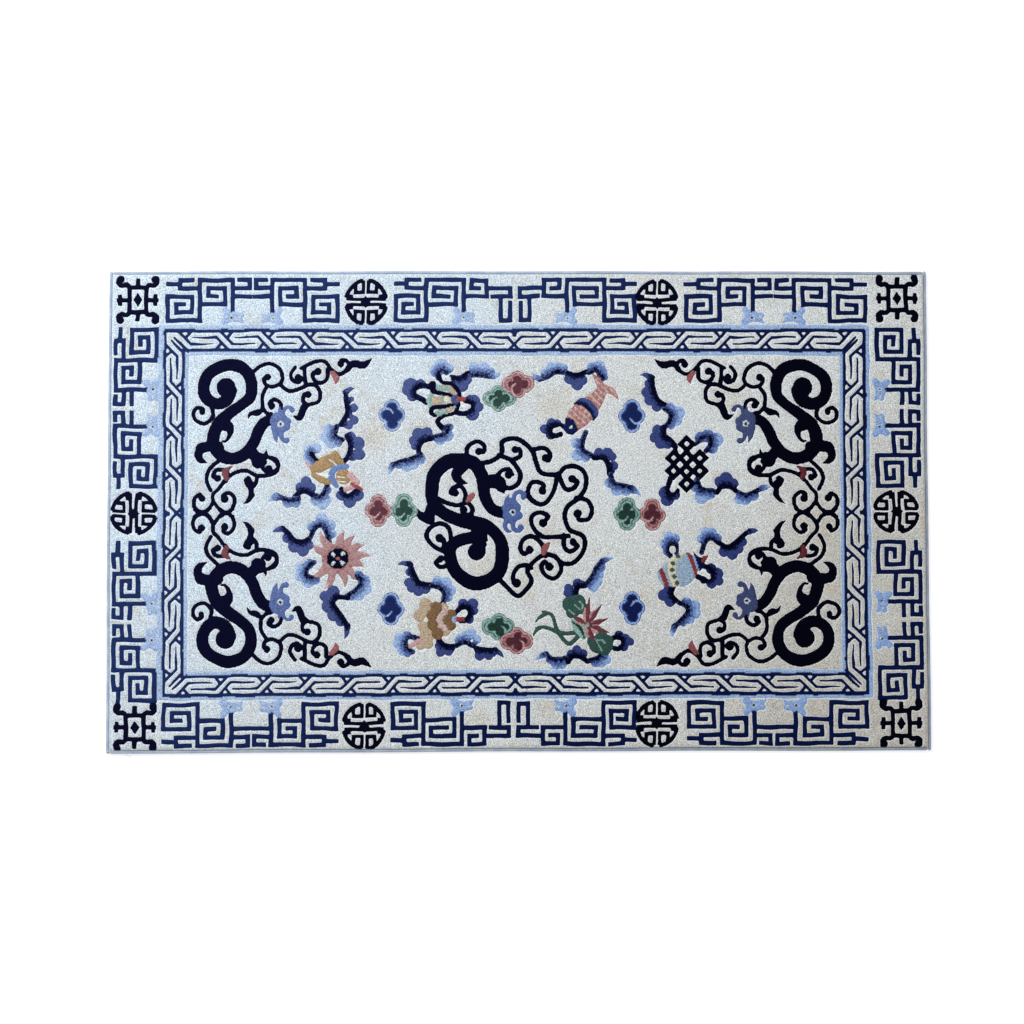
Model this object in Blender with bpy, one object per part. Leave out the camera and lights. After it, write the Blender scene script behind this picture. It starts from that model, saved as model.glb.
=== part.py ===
"""Hand-knotted silk rug lying flat: one carved pile cloth and the four runs of its overcast
edge binding. Metres, +Z up, +X along the long side. The origin is on the floor under the
middle of the rug."""

import math

import bmesh
import bpy

# Driving sizes
LENGTH = 1.550
WIDTH = 0.906
PILE_TOP = 0.0115
BINDING_WIDTH = 0.0066
BINDING_HEIGHT = 0.0075
JOIN_GAP = 0.0003

# The pile's clipped edge: how far in the rounding starts, and how far it drops
SHOULDER_RUN = 0.009
SHOULDER_DROP = 0.0035
SHOULDER_ROWS = (0.0, 0.09, 0.3, 0.62, 1.0)

# Seams carved along the border's guard stripes, each a rectangle set in from the rug's edge:
# from the left and right edges, from the top and bottom edges
SEAMS = (
    (0.0945, 0.1000),
    (0.1090, 0.1135),
    (0.1385, 0.1445),
    (0.1510, 0.1575),
)
SEAM_DEPTH = 0.0012
SEAM_HALF_WIDTH = 0.0018

# Slow waves that pull each edge in from a straight line: depth, wavelength, start
EDGE_WAVES = {
    "left": ((0.0016, 1.30, 0.10), (0.0006, 0.37, 0.30)),
    "right": ((0.0014, 1.10, 0.42), (0.0007, 0.31, 0.05)),
    "top": ((0.0012, 1.90, 0.25), (0.0006, 0.34, 0.60)),
    "bottom": ((0.0020, 2.10, 0.45), (0.0008, 0.41, 0.15)),
}

# Soft ripples in the cloth: middle x, middle y, rise, half width, half run, turn in degrees
RIPPLES = (
    (-0.468, 0.385, -0.0012, 0.022, 0.100, 4),
    (-0.425, 0.390, 0.0010, 0.024, 0.110, 4),
    (-0.160, 0.395, -0.0010, 0.020, 0.090, -3),
    (-0.118, 0.390, 0.0008, 0.026, 0.100, -3),
    (0.205, 0.385, 0.0007, 0.028, 0.120, 5),
    (0.520, 0.375, 0.0009, 0.026, 0.120, -6),
    (-0.640, 0.060, 0.0008, 0.110, 0.022, 3),
    (0.655, -0.120, 0.0009, 0.100, 0.026, -4),
    (0.480, -0.385, 0.0010, 0.028, 0.100, 6),
    (0.240, -0.395, -0.0009, 0.022, 0.090, 2),
    (-0.300, -0.385, 0.0008, 0.030, 0.110, -5),
    (0.060, 0.030, 0.0007, 0.300, 0.070, 12),
)

GRID_STEP = 0.055

# The binding's cross-section, as shares of its width and height
BINDING_SECTION = (
    (0.16, 0.00),
    (0.00, 0.28),
    (0.00, 0.62),
    (0.20, 0.92),
    (0.50, 1.00),
    (0.80, 0.92),
    (1.00, 0.62),
    (1.00, 0.00),
)
BINDING_END_TAPER = 0.0025
BINDING_END_SCALE = 0.72

# Colours of the silk: red, green, blue
IVORY_SILK = (0.70, 0.72, 0.73)
SKY_BLUE_SILK = (0.36, 0.46, 0.64)
SILK_ROUGHNESS = 0.62


def clear_scene():
    for obj in list(bpy.data.objects):
        bpy.data.objects.remove(obj, do_unlink=True)


def silk(name, colour):
    material = bpy.data.materials.new(name)
    material.use_nodes = True
    shader = material.node_tree.nodes["Principled BSDF"]
    shader.inputs["Base Color"].default_value = (*colour, 1.0)
    shader.inputs["Roughness"].default_value = SILK_ROUGHNESS
    shader.inputs["Metallic"].default_value = 0.0
    return material


def edge_pull(side, along):
    """How far an edge is drawn in from straight, at a place along it."""
    total = 0.0
    for depth, wavelength, start in EDGE_WAVES[side]:
        total += depth * math.sin(math.pi * (along / wavelength + start)) ** 2
    return total


def uneven(x, y):
    """Where a point of the evenly ruled rug lies in the real, slightly uneven one."""
    right_share = 0.5 + x / LENGTH
    top_share = 0.5 + y / WIDTH
    shift_x = edge_pull("left", y) * (1 - right_share) - edge_pull("right", y) * right_share
    shift_y = edge_pull("bottom", x) * (1 - top_share) - edge_pull("top", x) * top_share
    return x + shift_x, y + shift_y


def ripple_rise(x, y):
    total = 0.0
    for middle_x, middle_y, rise, half_width, half_run, turn in RIPPLES:
        angle = math.radians(turn)
        across = (x - middle_x) * math.cos(angle) + (y - middle_y) * math.sin(angle)
        along = (y - middle_y) * math.cos(angle) - (x - middle_x) * math.sin(angle)
        total += rise * math.exp(-((across / half_width) ** 2) - (along / half_run) ** 2)
    return total


def seam_drop(x, y):
    total = 0.0
    for from_end, from_side in SEAMS:
        off_seam = max(abs(x) - LENGTH / 2 + from_end, abs(y) - WIDTH / 2 + from_side)
        total += SEAM_DEPTH * max(0.0, 1 - abs(off_seam) / SEAM_HALF_WIDTH)
    return total


def shoulder_drop(x, y):
    inset = BINDING_WIDTH + JOIN_GAP
    from_edge = min(LENGTH / 2 - inset - abs(x), WIDTH / 2 - inset - abs(y))
    share = min(1.0, max(0.0, from_edge / SHOULDER_RUN))
    return SHOULDER_DROP * (1 - math.sqrt(1 - (1 - share) ** 2))


def pile_height(x, y):
    return PILE_TOP + ripple_rise(x, y) - seam_drop(x, y) - shoulder_drop(x, y)


def ruled_lines(half_size, seam_insets):
    """The grid's lines along one axis: fine at the edge and the seams, wide in the field."""
    half_pile = half_size - BINDING_WIDTH - JOIN_GAP
    positive = [half_pile - share * SHOULDER_RUN for share in SHOULDER_ROWS]
    for inset in seam_insets:
        seam = half_size - inset
        positive += [seam + SEAM_HALF_WIDTH, seam, seam - SEAM_HALF_WIDTH]
    field_half = half_size - max(seam_insets) - SEAM_HALF_WIDTH
    border_start = half_pile - SHOULDER_RUN
    border_end = half_size - min(seam_insets) + SEAM_HALF_WIDTH
    positive.append((border_start + border_end) / 2)
    steps = round(field_half / GRID_STEP)
    positive += [field_half * step / steps for step in range(1, steps)]
    return sorted([-value for value in positive] + [0.0] + positive)


def add_object(name, bm, material):
    for vert in bm.verts:
        vert.co.x, vert.co.y = uneven(vert.co.x, vert.co.y)
    bmesh.ops.recalc_face_normals(bm, faces=bm.faces)
    mesh = bpy.data.meshes.new(name)
    bm.to_mesh(mesh)
    bm.free()
    mesh.materials.append(material)
    mesh.shade_smooth()
    mesh.set_sharp_from_angle(angle=math.radians(50))
    obj = bpy.data.objects.new(name, mesh)
    bpy.context.scene.collection.objects.link(obj)
    return obj


def make_pile(lines_x, lines_y, material):
    """One grid for the pile's top, its rim drawn straight down to a flat underside."""
    bm = bmesh.new()
    last_x = len(lines_x) - 1
    last_y = len(lines_y) - 1
    bmesh.ops.create_grid(bm, x_segments=last_x, y_segments=last_y, size=0.5)
    for vert in bm.verts:
        x = lines_x[round((vert.co.x + 0.5) * last_x)]
        y = lines_y[round((vert.co.y + 0.5) * last_y)]
        vert.co = (x, y, pile_height(x, y))
    rim = [edge for edge in bm.edges if edge.is_boundary]
    skirt = bmesh.ops.extrude_edge_only(bm, edges=rim)["geom"]
    for item in skirt:
        if isinstance(item, bmesh.types.BMVert):
            item.co.z = 0.0
    hem = [item for item in skirt if isinstance(item, bmesh.types.BMEdge) and item.is_boundary]
    bmesh.ops.contextual_create(bm, geom=hem)
    return add_object("rug_pile", bm, material)


def section_points(scale):
    """The binding's section as distances in from the rug's edge and heights over the floor."""
    points = []
    for across, up in BINDING_SECTION:
        in_from_edge = BINDING_WIDTH * (0.5 + (across - 0.5) * scale)
        points.append((in_from_edge, BINDING_HEIGHT * up * scale))
    return points


def make_binding(name, stations, place, material):
    """A run of binding: its section repeated at each station, with eased ends."""
    bm = bmesh.new()
    first, last = stations[0], stations[-1]
    runs = [(first, BINDING_END_SCALE), (first + BINDING_END_TAPER, 1.0)]
    runs += [(along, 1.0) for along in stations[1:-1]]
    runs += [(last - BINDING_END_TAPER, 1.0), (last, BINDING_END_SCALE)]
    rings = []
    for along, scale in runs:
        spots = [(*place(along, inset), height) for inset, height in section_points(scale)]
        rings.append([bm.verts.new(spot) for spot in spots])
    count = len(BINDING_SECTION)
    for ring, next_ring in zip(rings, rings[1:]):
        for i in range(count):
            j = (i + 1) % count
            bm.faces.new((ring[i], ring[j], next_ring[j], next_ring[i]))
    bm.faces.new(rings[0])
    bm.faces.new(rings[-1])
    return add_object(name, bm, material)


def inner_lines(lines, reach):
    """The grid lines that a run of binding shares, between its own two ends."""
    clear = reach - 2 * BINDING_END_TAPER
    return [-reach] + [value for value in lines if abs(value) < clear] + [reach]


def main():
    clear_scene()
    ivory = silk("ivory_silk", IVORY_SILK)
    sky_blue = silk("sky_blue_silk", SKY_BLUE_SILK)
    lines_x = ruled_lines(LENGTH / 2, [from_end for from_end, _ in SEAMS])
    lines_y = ruled_lines(WIDTH / 2, [from_side for _, from_side in SEAMS])
    make_pile(lines_x, lines_y, ivory)

    side_run = inner_lines(lines_y, WIDTH / 2)
    end_run = inner_lines(lines_x, LENGTH / 2 - BINDING_WIDTH - JOIN_GAP)
    make_binding("binding_left", side_run, lambda s, inset: (inset - LENGTH / 2, s), sky_blue)
    make_binding("binding_right", side_run, lambda s, inset: (LENGTH / 2 - inset, s), sky_blue)
    make_binding("binding_top", end_run, lambda s, inset: (s, WIDTH / 2 - inset), sky_blue)
    make_binding("binding_bottom", end_run, lambda s, inset: (s, inset - WIDTH / 2), sky_blue)


main()
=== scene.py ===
"""A pale silk pile rug with a navy dragon, scrolls, ribbon clouds and a double border, laid flat."""

import math

import bpy
import numpy as np
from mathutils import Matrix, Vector


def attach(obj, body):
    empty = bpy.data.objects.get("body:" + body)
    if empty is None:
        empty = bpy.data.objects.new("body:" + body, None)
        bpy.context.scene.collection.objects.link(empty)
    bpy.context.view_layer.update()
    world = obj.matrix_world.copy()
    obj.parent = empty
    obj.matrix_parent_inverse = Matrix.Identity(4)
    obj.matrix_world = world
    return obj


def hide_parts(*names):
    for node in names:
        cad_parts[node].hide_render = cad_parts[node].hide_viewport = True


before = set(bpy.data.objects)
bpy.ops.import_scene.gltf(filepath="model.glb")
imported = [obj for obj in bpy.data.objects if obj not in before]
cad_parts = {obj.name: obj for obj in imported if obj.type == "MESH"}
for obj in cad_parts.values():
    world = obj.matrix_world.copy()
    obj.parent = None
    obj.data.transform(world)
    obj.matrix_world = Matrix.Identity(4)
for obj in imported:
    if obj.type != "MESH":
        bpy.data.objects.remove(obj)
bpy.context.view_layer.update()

# Sizes of the rug and its bands, in millimetres. REACH is how far round a figure its distances
# count, and FAR_OUT is the depth of a knot that no figure comes near.
MM = 0.001
LENGTH = 1550.0
WIDTH = 906.0
KNOT = 2.0
REACH = 7.0
FAR_OUT = -99.0
FAR_AWAY = 1e9
SHORTEST_RUN = 1e-9
PATTERN_DROP = 3.4
# The pale tip of a ribbon cloud: how far up the ramp its point is, and how far it reaches
PALE_TIP_TONE = 0.95
PALE_TIP_REACH = 30.0

HALF_LENGTH = LENGTH / 2
HALF_WIDTH = WIDTH / 2

# How the drawn lines waver, in x and then in y. Each is two waves: height, length, and the sway
# and its length.
WANDER = (
    ((0.55, 13.0, 2.1, 37.0), (0.45, 9.0, 1.7, 29.0)),
    ((0.55, 15.0, 1.9, 41.0), (0.45, 10.0, 2.3, 31.0)),
)

# Yarn colours, as sRGB shares
YARNS = {
    "ivory": (0.82, 0.86, 0.88),
    "navy": (0.034, 0.044, 0.160),
    "line_blue": (0.115, 0.185, 0.370),
    "sky": (0.675, 0.755, 0.865),
    "slate": (0.385, 0.455, 0.650),
    "slate_shaded": (0.365, 0.400, 0.540),
    # A darker copy of the slate: painted shade for the right-hand dragon heads
    "fish_rose": (0.690, 0.520, 0.505),
    "fish_pale": (0.800, 0.715, 0.700),
    "bud_dark": (0.480, 0.290, 0.315),
    "leaf": (0.310, 0.420, 0.395),
    "petal": (0.520, 0.325, 0.360),
    "flame": (0.690, 0.555, 0.560),
    "blue_mid": (0.305, 0.355, 0.550),
    "blue_light": (0.440, 0.530, 0.710),
    "blue_pale": (0.640, 0.725, 0.860),
    "rose": (0.620, 0.415, 0.420),
    "rose_pale": (0.780, 0.650, 0.650),
    "maroon": (0.400, 0.245, 0.290),
    "green": (0.215, 0.315, 0.285),
    "green_pale": (0.620, 0.730, 0.710),
    "gold": (0.660, 0.555, 0.410),
    "gold_dark": (0.545, 0.445, 0.340),
    "cream": (0.850, 0.825, 0.750),
    "red": (0.600, 0.330, 0.330),
    "teal": (0.580, 0.690, 0.670),
    "head_blue": (0.640, 0.725, 0.860),
    "blue_deep": (0.120, 0.160, 0.340),
    "cloud_blue": (0.145, 0.205, 0.400),
    "line_pale": (0.330, 0.410, 0.600),
    "rose_mid": (0.700, 0.530, 0.535),
    "rose_deep": (0.520, 0.360, 0.390),
    "green_mid": (0.330, 0.440, 0.410),
    "tan": (0.745, 0.680, 0.600),
    "jar_blue": (0.660, 0.725, 0.790),
}


def wave(run, other, height, length, sway, sway_length):
    """A wave along one direction, swaying with the other."""
    return height * np.sin(run / length + sway * np.sin(other / sway_length))


def nearest_on(x, y, start, end):
    """Each knot's share of the way along a straight stretch, and its distance from it."""
    run_x, run_y = end[0] - start[0], end[1] - start[1]
    run = max(run_x * run_x + run_y * run_y, SHORTEST_RUN)
    share = np.clip(((x - start[0]) * run_x + (y - start[1]) * run_y) / run, 0, 1)
    return share, np.hypot(x - start[0] - share * run_x, y - start[1] - share * run_y)


def diamond(x, y, half_x, half_y):
    return (x - half_x, y), (x, y + half_y), (x + half_x, y), (x, y - half_y)


class Weave:
    """The field of knots: where each one is, its yarn, and its distance from a carved line.
    edge is above 0 in a figure and below 0 in the ground; side is the distance from the
    nearest carved line, above 0 inside the figure that it goes round."""

    def __init__(self, half_length, half_width, seed):
        self.columns = 2 * round(half_length / KNOT) + 1
        self.rows = 2 * round(half_width / KNOT) + 1
        self.x = np.linspace(-half_length, half_length, self.columns)
        self.y = np.linspace(-half_width, half_width, self.rows)
        grid_x, grid_y = np.meshgrid(self.x, self.y)
        self.random = np.random.default_rng(seed)
        (first_x, second_x), (first_y, second_y) = WANDER
        wander_x = wave(grid_x, grid_y, *first_x) + wave(grid_y, grid_x, *second_x)
        wander_y = wave(grid_y, grid_x, *first_y) + wave(grid_x, grid_y, *second_y)
        self.drawn_x = grid_x + wander_x
        self.drawn_y = grid_y + wander_y + PATTERN_DROP
        shape = grid_x.shape
        self.edge = np.full(shape, FAR_OUT)
        self.side = np.full(shape, FAR_OUT)
        self.yarn = np.empty((*shape, 3))
        self.yarn[:] = YARNS["ivory"]
        self.dither = self.random.random(shape)

    def window(self, low_x, high_x, low_y, high_y, margin):
        first_column = max(0, int((low_x - margin - self.x[0]) / KNOT))
        last_column = min(self.columns, int((high_x + margin - self.x[0]) / KNOT) + 2)
        first_row = max(0, int((low_y - margin - self.y[0]) / KNOT))
        last_row = min(self.rows, int((high_y + margin - self.y[0]) / KNOT) + 2)
        return slice(first_row, max(first_row, last_row)), slice(first_column, max(first_column, last_column))


class Figure:
    """One shape on the weave: the union of strokes, discs, bars and polygons, kept as the
    distance inside its outline."""

    def __init__(self, weave, place=None):
        self.weave = weave
        self.place = place or Place()
        self.depth = np.full(weave.edge.shape, FAR_OUT)
        self.low = [10**6, 10**6]
        self.high = [0, 0]

    def merge(self, area, inside):
        if inside.size == 0:
            return
        np.maximum(self.depth[area], inside, out=self.depth[area])
        for axis in (0, 1):
            self.low[axis] = min(self.low[axis], area[axis].start)
            self.high[axis] = max(self.high[axis], area[axis].stop)

    def area(self):
        return slice(self.low[0], self.high[0]), slice(self.low[1], self.high[1])

    def knots(self, spots, radius):
        xs = [spot[0] for spot in spots]
        ys = [spot[1] for spot in spots]
        area = self.weave.window(min(xs), max(xs), min(ys), max(ys), radius + REACH)
        return area, self.weave.drawn_x[area], self.weave.drawn_y[area]

    def stretch(self, start, end, start_width, end_width):
        """A straight stretch of a stroke with round ends and its own width at each."""
        area, x, y = self.knots((start, end), max(start_width, end_width) / 2)
        share, away = nearest_on(x, y, start, end)
        self.merge(area, (start_width + (end_width - start_width) * share) / 2 - away)

    def stroke(self, points, widths, ball=None):
        """A smooth brush stroke through the points. A ball, (x, y, radius), can close it."""
        spots = [self.place.at(x, y) for x, y in points]
        if isinstance(widths, (int, float)):
            widths = [widths] * 2
        curve, shares = smooth(spots)
        wide = np.interp(shares, np.linspace(0, 1, len(widths)), widths) * self.place.scale
        for i in range(len(curve) - 1):
            self.stretch(curve[i], curve[i + 1], wide[i], wide[i + 1])
        if ball:
            self.disc(*ball)
        return self

    def disc(self, x, y, radius):
        spot = self.place.at(x, y)
        radius = radius * self.place.scale
        self.stretch(spot, spot, 2 * radius, 2 * radius)
        return self

    def discs(self, discs):
        for disc in discs:
            self.disc(*disc)
        return self

    def bar(self, start, end, width):
        """A square-ended bar, which reaches half its width past both points."""
        first, last = self.place.at(*start), self.place.at(*end)
        area, x, y = self.knots((first, last), width)
        middle_x, middle_y = (first[0] + last[0]) / 2, (first[1] + last[1]) / 2
        run = math.dist(first, last)
        turn_x, turn_y = 1.0, 0.0
        if run > SHORTEST_RUN:
            turn_x, turn_y = (last[0] - first[0]) / run, (last[1] - first[1]) / run
        along = np.abs((x - middle_x) * turn_x + (y - middle_y) * turn_y) - run / 2 - width / 2
        across = np.abs((y - middle_y) * turn_x - (x - middle_x) * turn_y) - width / 2
        outside = np.hypot(np.maximum(along, 0), np.maximum(across, 0))
        self.merge(area, -outside - np.minimum(np.maximum(along, across), 0))
        return self

    def path(self, points, width):
        """A run of square-ended bars from point to point."""
        for start, end in zip(points, points[1:]):
            self.bar(start, end, width)
        return self

    def path_round(self, points, width, end_width):
        """A run of straight strokes with round ends, from a narrower first end."""
        spots = [self.place.at(*point) for point in points]
        for number, (start, end) in enumerate(zip(spots, spots[1:])):
            self.stretch(start, end, width if number else end_width, width)
        return self

    def polygon(self, points):
        spots = [self.place.at(x, y) for x, y in points]
        area, x, y = self.knots(spots, 0)
        away = np.full(x.shape, FAR_AWAY)
        odd = np.zeros(x.shape, bool)
        for start, end in zip(spots, spots[1:] + spots[:1]):
            away = np.minimum(away, nearest_on(x, y, start, end)[1])
            run_x, run_y = end[0] - start[0], end[1] - start[1]
            if run_y:
                crosses = (start[1] > y) != (end[1] > y)
                odd ^= crosses & (x < run_x * (y - start[1]) / run_y + start[0])
        self.merge(area, np.where(odd, away, -away))
        return self

    def keep(self, other, grow=0.0):
        """Cuts this figure to another's outline, grown or drawn in."""
        np.minimum(self.depth, other.depth + grow, out=self.depth)
        return self

    def dye(self, yarn, carved=True):
        """Works the figure in one yarn, a name, or an array of colours over its area."""
        area = self.area()
        weave = self.weave
        depth = self.depth[area]
        edge = weave.edge[area]
        inside = depth > 0
        near = inside | (depth > edge)
        colour = np.asarray(YARNS[yarn] if isinstance(yarn, str) else yarn)
        colour = np.broadcast_to(colour, (*depth.shape, 3))
        weave.yarn[area][near] = colour[near]
        weave.edge[area] = np.where(depth > -REACH, np.maximum(edge, depth), edge)
        if carved:
            self.carve()
        return self

    def carve(self):
        area = self.area()
        depth = self.depth[area]
        side = self.weave.side[area]
        self.weave.side[area] = np.where(depth > -np.abs(side), depth, side)

    def clear(self):
        """Leaves the figure as bare ground, cut out of what lies under it."""
        area = self.area()
        weave = self.weave
        weave.edge[area] = np.minimum(weave.edge[area], -self.depth[area])
        self.carve()
        return self

    def shade(self, dark_points, reach, ramp, soft=0.22, pale_tip=None):
        """Works the figure from the ramp's first yarn, along the dark line, to its last, with
        the knots of neighbouring yarns mixed. A pale tip takes the last yarns round it."""
        area = self.area()
        x, y = self.weave.drawn_x[area], self.weave.drawn_y[area]
        spots = [self.place.at(*point) for point in dark_points]
        curve, _ = smooth(spots) if len(spots) > 1 else (spots * 2, None)
        away = np.full(x.shape, FAR_AWAY)
        for start, end in zip(curve, curve[1:]):
            away = np.minimum(away, nearest_on(x, y, start, end)[1])
        tone = away / (reach * self.place.scale)
        if pale_tip:
            from_tip = np.hypot(x - pale_tip[0], y - pale_tip[1])
            tone = np.maximum(tone, PALE_TIP_TONE - from_tip / PALE_TIP_REACH)
        tone = tone + soft * (self.weave.dither[area] - 0.5)
        step = np.clip((tone * len(ramp)).astype(int), 0, len(ramp) - 1)
        self.dye(np.array([YARNS[name] for name in ramp])[step])
        return self


class Place:
    """Puts a chart on the rug: an origin, a turn in degrees, a mirroring, a scale, and how
    much the chart closes up along u."""

    def __init__(self, x=0.0, y=0.0, turn=0.0, flip_x=1, flip_y=1, scale=1.0, closing=0.0):
        self.x, self.y, self.scale, self.closing = x, y, scale, closing
        self.flip_x, self.flip_y = flip_x, flip_y
        self.cos, self.sin = math.cos(math.radians(turn)), math.sin(math.radians(turn))

    def at(self, u, v):
        u, v = u * (1 - self.closing * u) * self.flip_x * self.scale, v * self.flip_y * self.scale
        return self.x + u * self.cos - v * self.sin, self.y + u * self.sin + v * self.cos


def spline(t, before, start, end, after):
    """One coordinate of a Catmull-Rom curve, a share t of the way from start to end."""
    second = 2 * before - 5 * start + 4 * end - after
    third = 3 * start - before - 3 * end + after
    return 0.5 * (2 * start + (end - before) * t + second * t * t + third * t**3)


def smooth(points, per_span=6):
    """A Catmull-Rom curve through the points, with each one's share of the way along."""
    if len(points) < 3:
        return list(points), np.linspace(0, 1, len(points))
    ends = [points[0], *points, points[-1]]
    curve = []
    for before, start, end, after in zip(ends, ends[1:], ends[2:], ends[3:]):
        for step in range(per_span):
            share = step / per_span
            curve.append(tuple(spline(share, *four) for four in zip(before, start, end, after)))
    curve.append(points[-1])
    lengths = [0.0]
    for start, end in zip(curve, curve[1:]):
        lengths.append(lengths[-1] + math.dist(start, end))
    return curve, np.array(lengths) / lengths[-1]


# Border stripes: how far each reaches from the rug's middle, outside and inside,
# as left, right, bottom and top
STRIPES = {
    "outer_guard": ((-679.5, 664, -350, 353), (-670, 657.5, -344.5, 345.5)),
    "outer_line": ((-670, 657.5, -344.5, 345.5), (-664.5, 651, -338, 339.5)),
    "inner_line": ((-635.5, 618, -308.5, 308.5), (-629.5, 613, -303, 302)),
    "inner_guard": ((-629.5, 613, -303, 302), (-623, 607.5, -297, 295.5)),
}
FIELD = {"left": -624, "right": 608, "bottom": -297, "top": 295}
# The interlaced ribbon: its width, where its first turn begins, the share of a turn that the
# cross takes up, where the crosses are, the rows across it, and the turns of half a side
LACE_WIDTH = 5.0
LACE_START = 24.0
LACE_CROSS = 0.09
LACE_MIDDLE = (-9.0, -1.0)
LACE_ROWS = 3
LONG_SIDE_TURNS = 8
SHORT_SIDE_TURNS = 4
# The widths of the frets' bars and of the dragons' scrolls
FRET_WIDTH = 7.9
STEM = 7.2


def work_stripe(weave, outside, inside, yarn):
    """One stripe of the border, all the way round."""
    left, right, bottom, top = outside
    in_left, in_right, in_bottom, in_top = inside
    figure = Figure(weave)
    figure.polygon(((left, bottom), (right, bottom), (right, in_bottom), (left, in_bottom)))
    figure.polygon(((left, in_top), (right, in_top), (right, top), (left, top)))
    figure.polygon(((left, bottom), (in_left, bottom), (in_left, top), (left, top)))
    figure.polygon(((in_right, bottom), (right, bottom), (right, top), (in_right, top)))
    figure.dye(yarn)


def work_stripes(weave):
    for name in ("outer_guard", "inner_guard"):
        work_stripe(weave, *STRIPES[name], "sky")
    for name in ("outer_line", "inner_line"):
        work_stripe(weave, *STRIPES[name], "line_blue")


def middle_of(name):
    """The middle line of a border stripe on each side."""
    outside, inside = STRIPES[name]
    return [(a + b) / 2 for a, b in zip(outside, inside)]


def work_lace(weave):
    """The interlaced ribbon between the two blue lines, from each corner to the side's middle,
    where it turns back in a cross."""
    left, right, bottom, top = middle_of("outer_line")
    in_left, in_right, in_bottom, in_top = middle_of("inner_line")
    middle_x, middle_y = LACE_MIDDLE
    sides = []
    for y, in_y, inward in ((top, in_top, -1), (bottom, in_bottom, 1)):
        row = abs(in_y - y) / LACE_ROWS
        for x, along in ((left, 1), (right, -1)):
            place = Across((x, y), (along, 0), (0, inward), row)
            sides.append((place, abs(middle_x - x), LONG_SIDE_TURNS))
    for x, in_x, inward in ((left, in_left, 1), (right, in_right, -1)):
        row = abs(in_x - x) / LACE_ROWS
        for y, along in ((top, -1), (bottom, 1)):
            place = Across((x, y), (0, along), (inward, 0), row)
            sides.append((place, abs(middle_y - y), SHORT_SIDE_TURNS))
    figure = Figure(weave)
    for place, run, turns in sides:
        figure.place = place
        pitch = (run - LACE_START) / (turns + LACE_CROSS)
        figure.stroke(((17, 1.0), (30, 2.0), (43, 3.1)), (3.0, LACE_WIDTH, LACE_WIDTH))
        for turn in range(turns + 1):
            here = LACE_START + turn * pitch
            if turn:
                figure.path_round(((here - 51, 1), (here - 6, 1), (here + 18, 3)), LACE_WIDTH, 2.4)
            if turn < turns:
                figure.path_round(((here + 67, 2), (here + 24, 2), (here, 0)), LACE_WIDTH, 2.4)
                figure.path_round(((here + 25, 0), (here + 15, 1)), LACE_WIDTH, LACE_WIDTH)
            else:
                figure.path_round(((here, 0), (here + 8.5, 0.75)), LACE_WIDTH, LACE_WIDTH)
            if 0 < turn < turns:
                figure.path_round(((here - 7, 3), (here + 3, 2.05)), LACE_WIDTH, LACE_WIDTH)
    figure.dye("line_blue")


class Across:
    """A border side as a chart: millimetres along it from its corner, and rows across it."""

    def __init__(self, corner, along, across, row, step=1.0):
        self.corner, self.along, self.across, self.row = corner, along, across, row
        self.scale, self.step = 1.0, step

    def at(self, run, rows):
        return tuple(
            c + a * run * self.step + b * rows * self.row
            for c, a, b in zip(self.corner, self.along, self.across)
        )


# Frets, in steps of the lattice along and across the border, across from 0 at the rug's edge
FRET_PAIR = (
    ((2, 3), (1, 3), (1, 4), (3, 4), (3, 2), (0, 2), (0, 5), (4, 5), (4, 0), (8, 0), (8, 4.1)),
    ((6, 2), (5, 2), (5, 1), (7, 1), (7, 3), (4, 3)),
    ((3.1, 0), (1.5, 0), (1.5, 1), (4, 1)),
    ((0, 0.5), (1.5, 0.5)),
    ((8, 1), (10, 1), (10, 0), (8.8, 0)),
    ((8, 2), (10.1, 2)),
)
FRET_SIDE = (*FRET_PAIR[:4], ((8, 1), (9.8, 1), (9.8, 0), (8.8, 0)), ((8, 2), (9.85, 2)))
FRET_MIDDLE = (
    ((1, 2), (2.1, 2)),
    ((2.1, 3), (1, 3), (1, 4), (3, 4), (3, 2), (0, 2), (0, 5), (4, 5), (4, 0), (9, 0), (9, 4.1)),
    ((7, 2), (5, 2), (5, 1), (8, 1), (8, 3), (4, 3)),
    ((3.1, 0), (1.5, 0), (1.5, 1), (4, 1)),
    ((0, 0.5), (1.5, 0.5)),
    ((9, 2), (12, 2), (12, 0), (10, 0), (10, 1), (11, 1)),
    ((12, 1), (15.2, 1), (15.2, 2), (12.8, 2)),
    ((13.9, 2), (13.9, 5), (15.1, 5), (15.1, 2.8)),
)


def work_fret(weave, place, paths, head_step):
    figure = Figure(weave, place)
    for points in paths:
        figure.path(points, FRET_WIDTH)
    figure.dye("line_blue")
    work_border_head(weave, place, head_step)


def work_border_head(weave, place, step):
    """The small pale head of a beast at the end of a fret, looking to the middle of its pair."""
    eye = place.at(step - 0.1, 4.68)
    face = Turned(eye, place)
    figure = Figure(weave, face)
    figure.discs(((-5, 0.5, 10), (5, 2, 9.5), (13, 2, 7.5), (18, 4.5, 5)))
    figure.stroke(((-7, 5), (-11, 12), (-13, 14)), (12, 12, 12))
    figure.stroke(((-6, -3), (-13, -6.5), (-14, -7)), (12, 13, 12.5))
    figure.stroke(((8, -2), (16, -4.5), (22, -9)), (12, 9, 3))
    figure.dye("head_blue")
    Figure(weave, face).stroke(((13, 1.5), (18, 1.5)), 2.2).dye("cream", carved=False)
    work_eye(weave, face, 3.8, 2.0)


class Turned:
    """A chart about a point, in millimetres, with the along and across directions of a side."""

    def __init__(self, origin, side):
        self.origin, self.side, self.scale = origin, side, 1.0

    def at(self, along, out):
        return tuple(
            o + along * a * (1 if self.side.step > 0 else -1) - out * b
            for o, a, b in zip(self.origin, self.side.along, self.side.across)
        )


def work_eye(weave, place, ring, dot, x=0.0, y=0.0):
    Figure(weave, place).disc(x, y, ring).dye("ivory")
    Figure(weave, place).disc(x, y, dot).dye("navy", carved=False)


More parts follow.
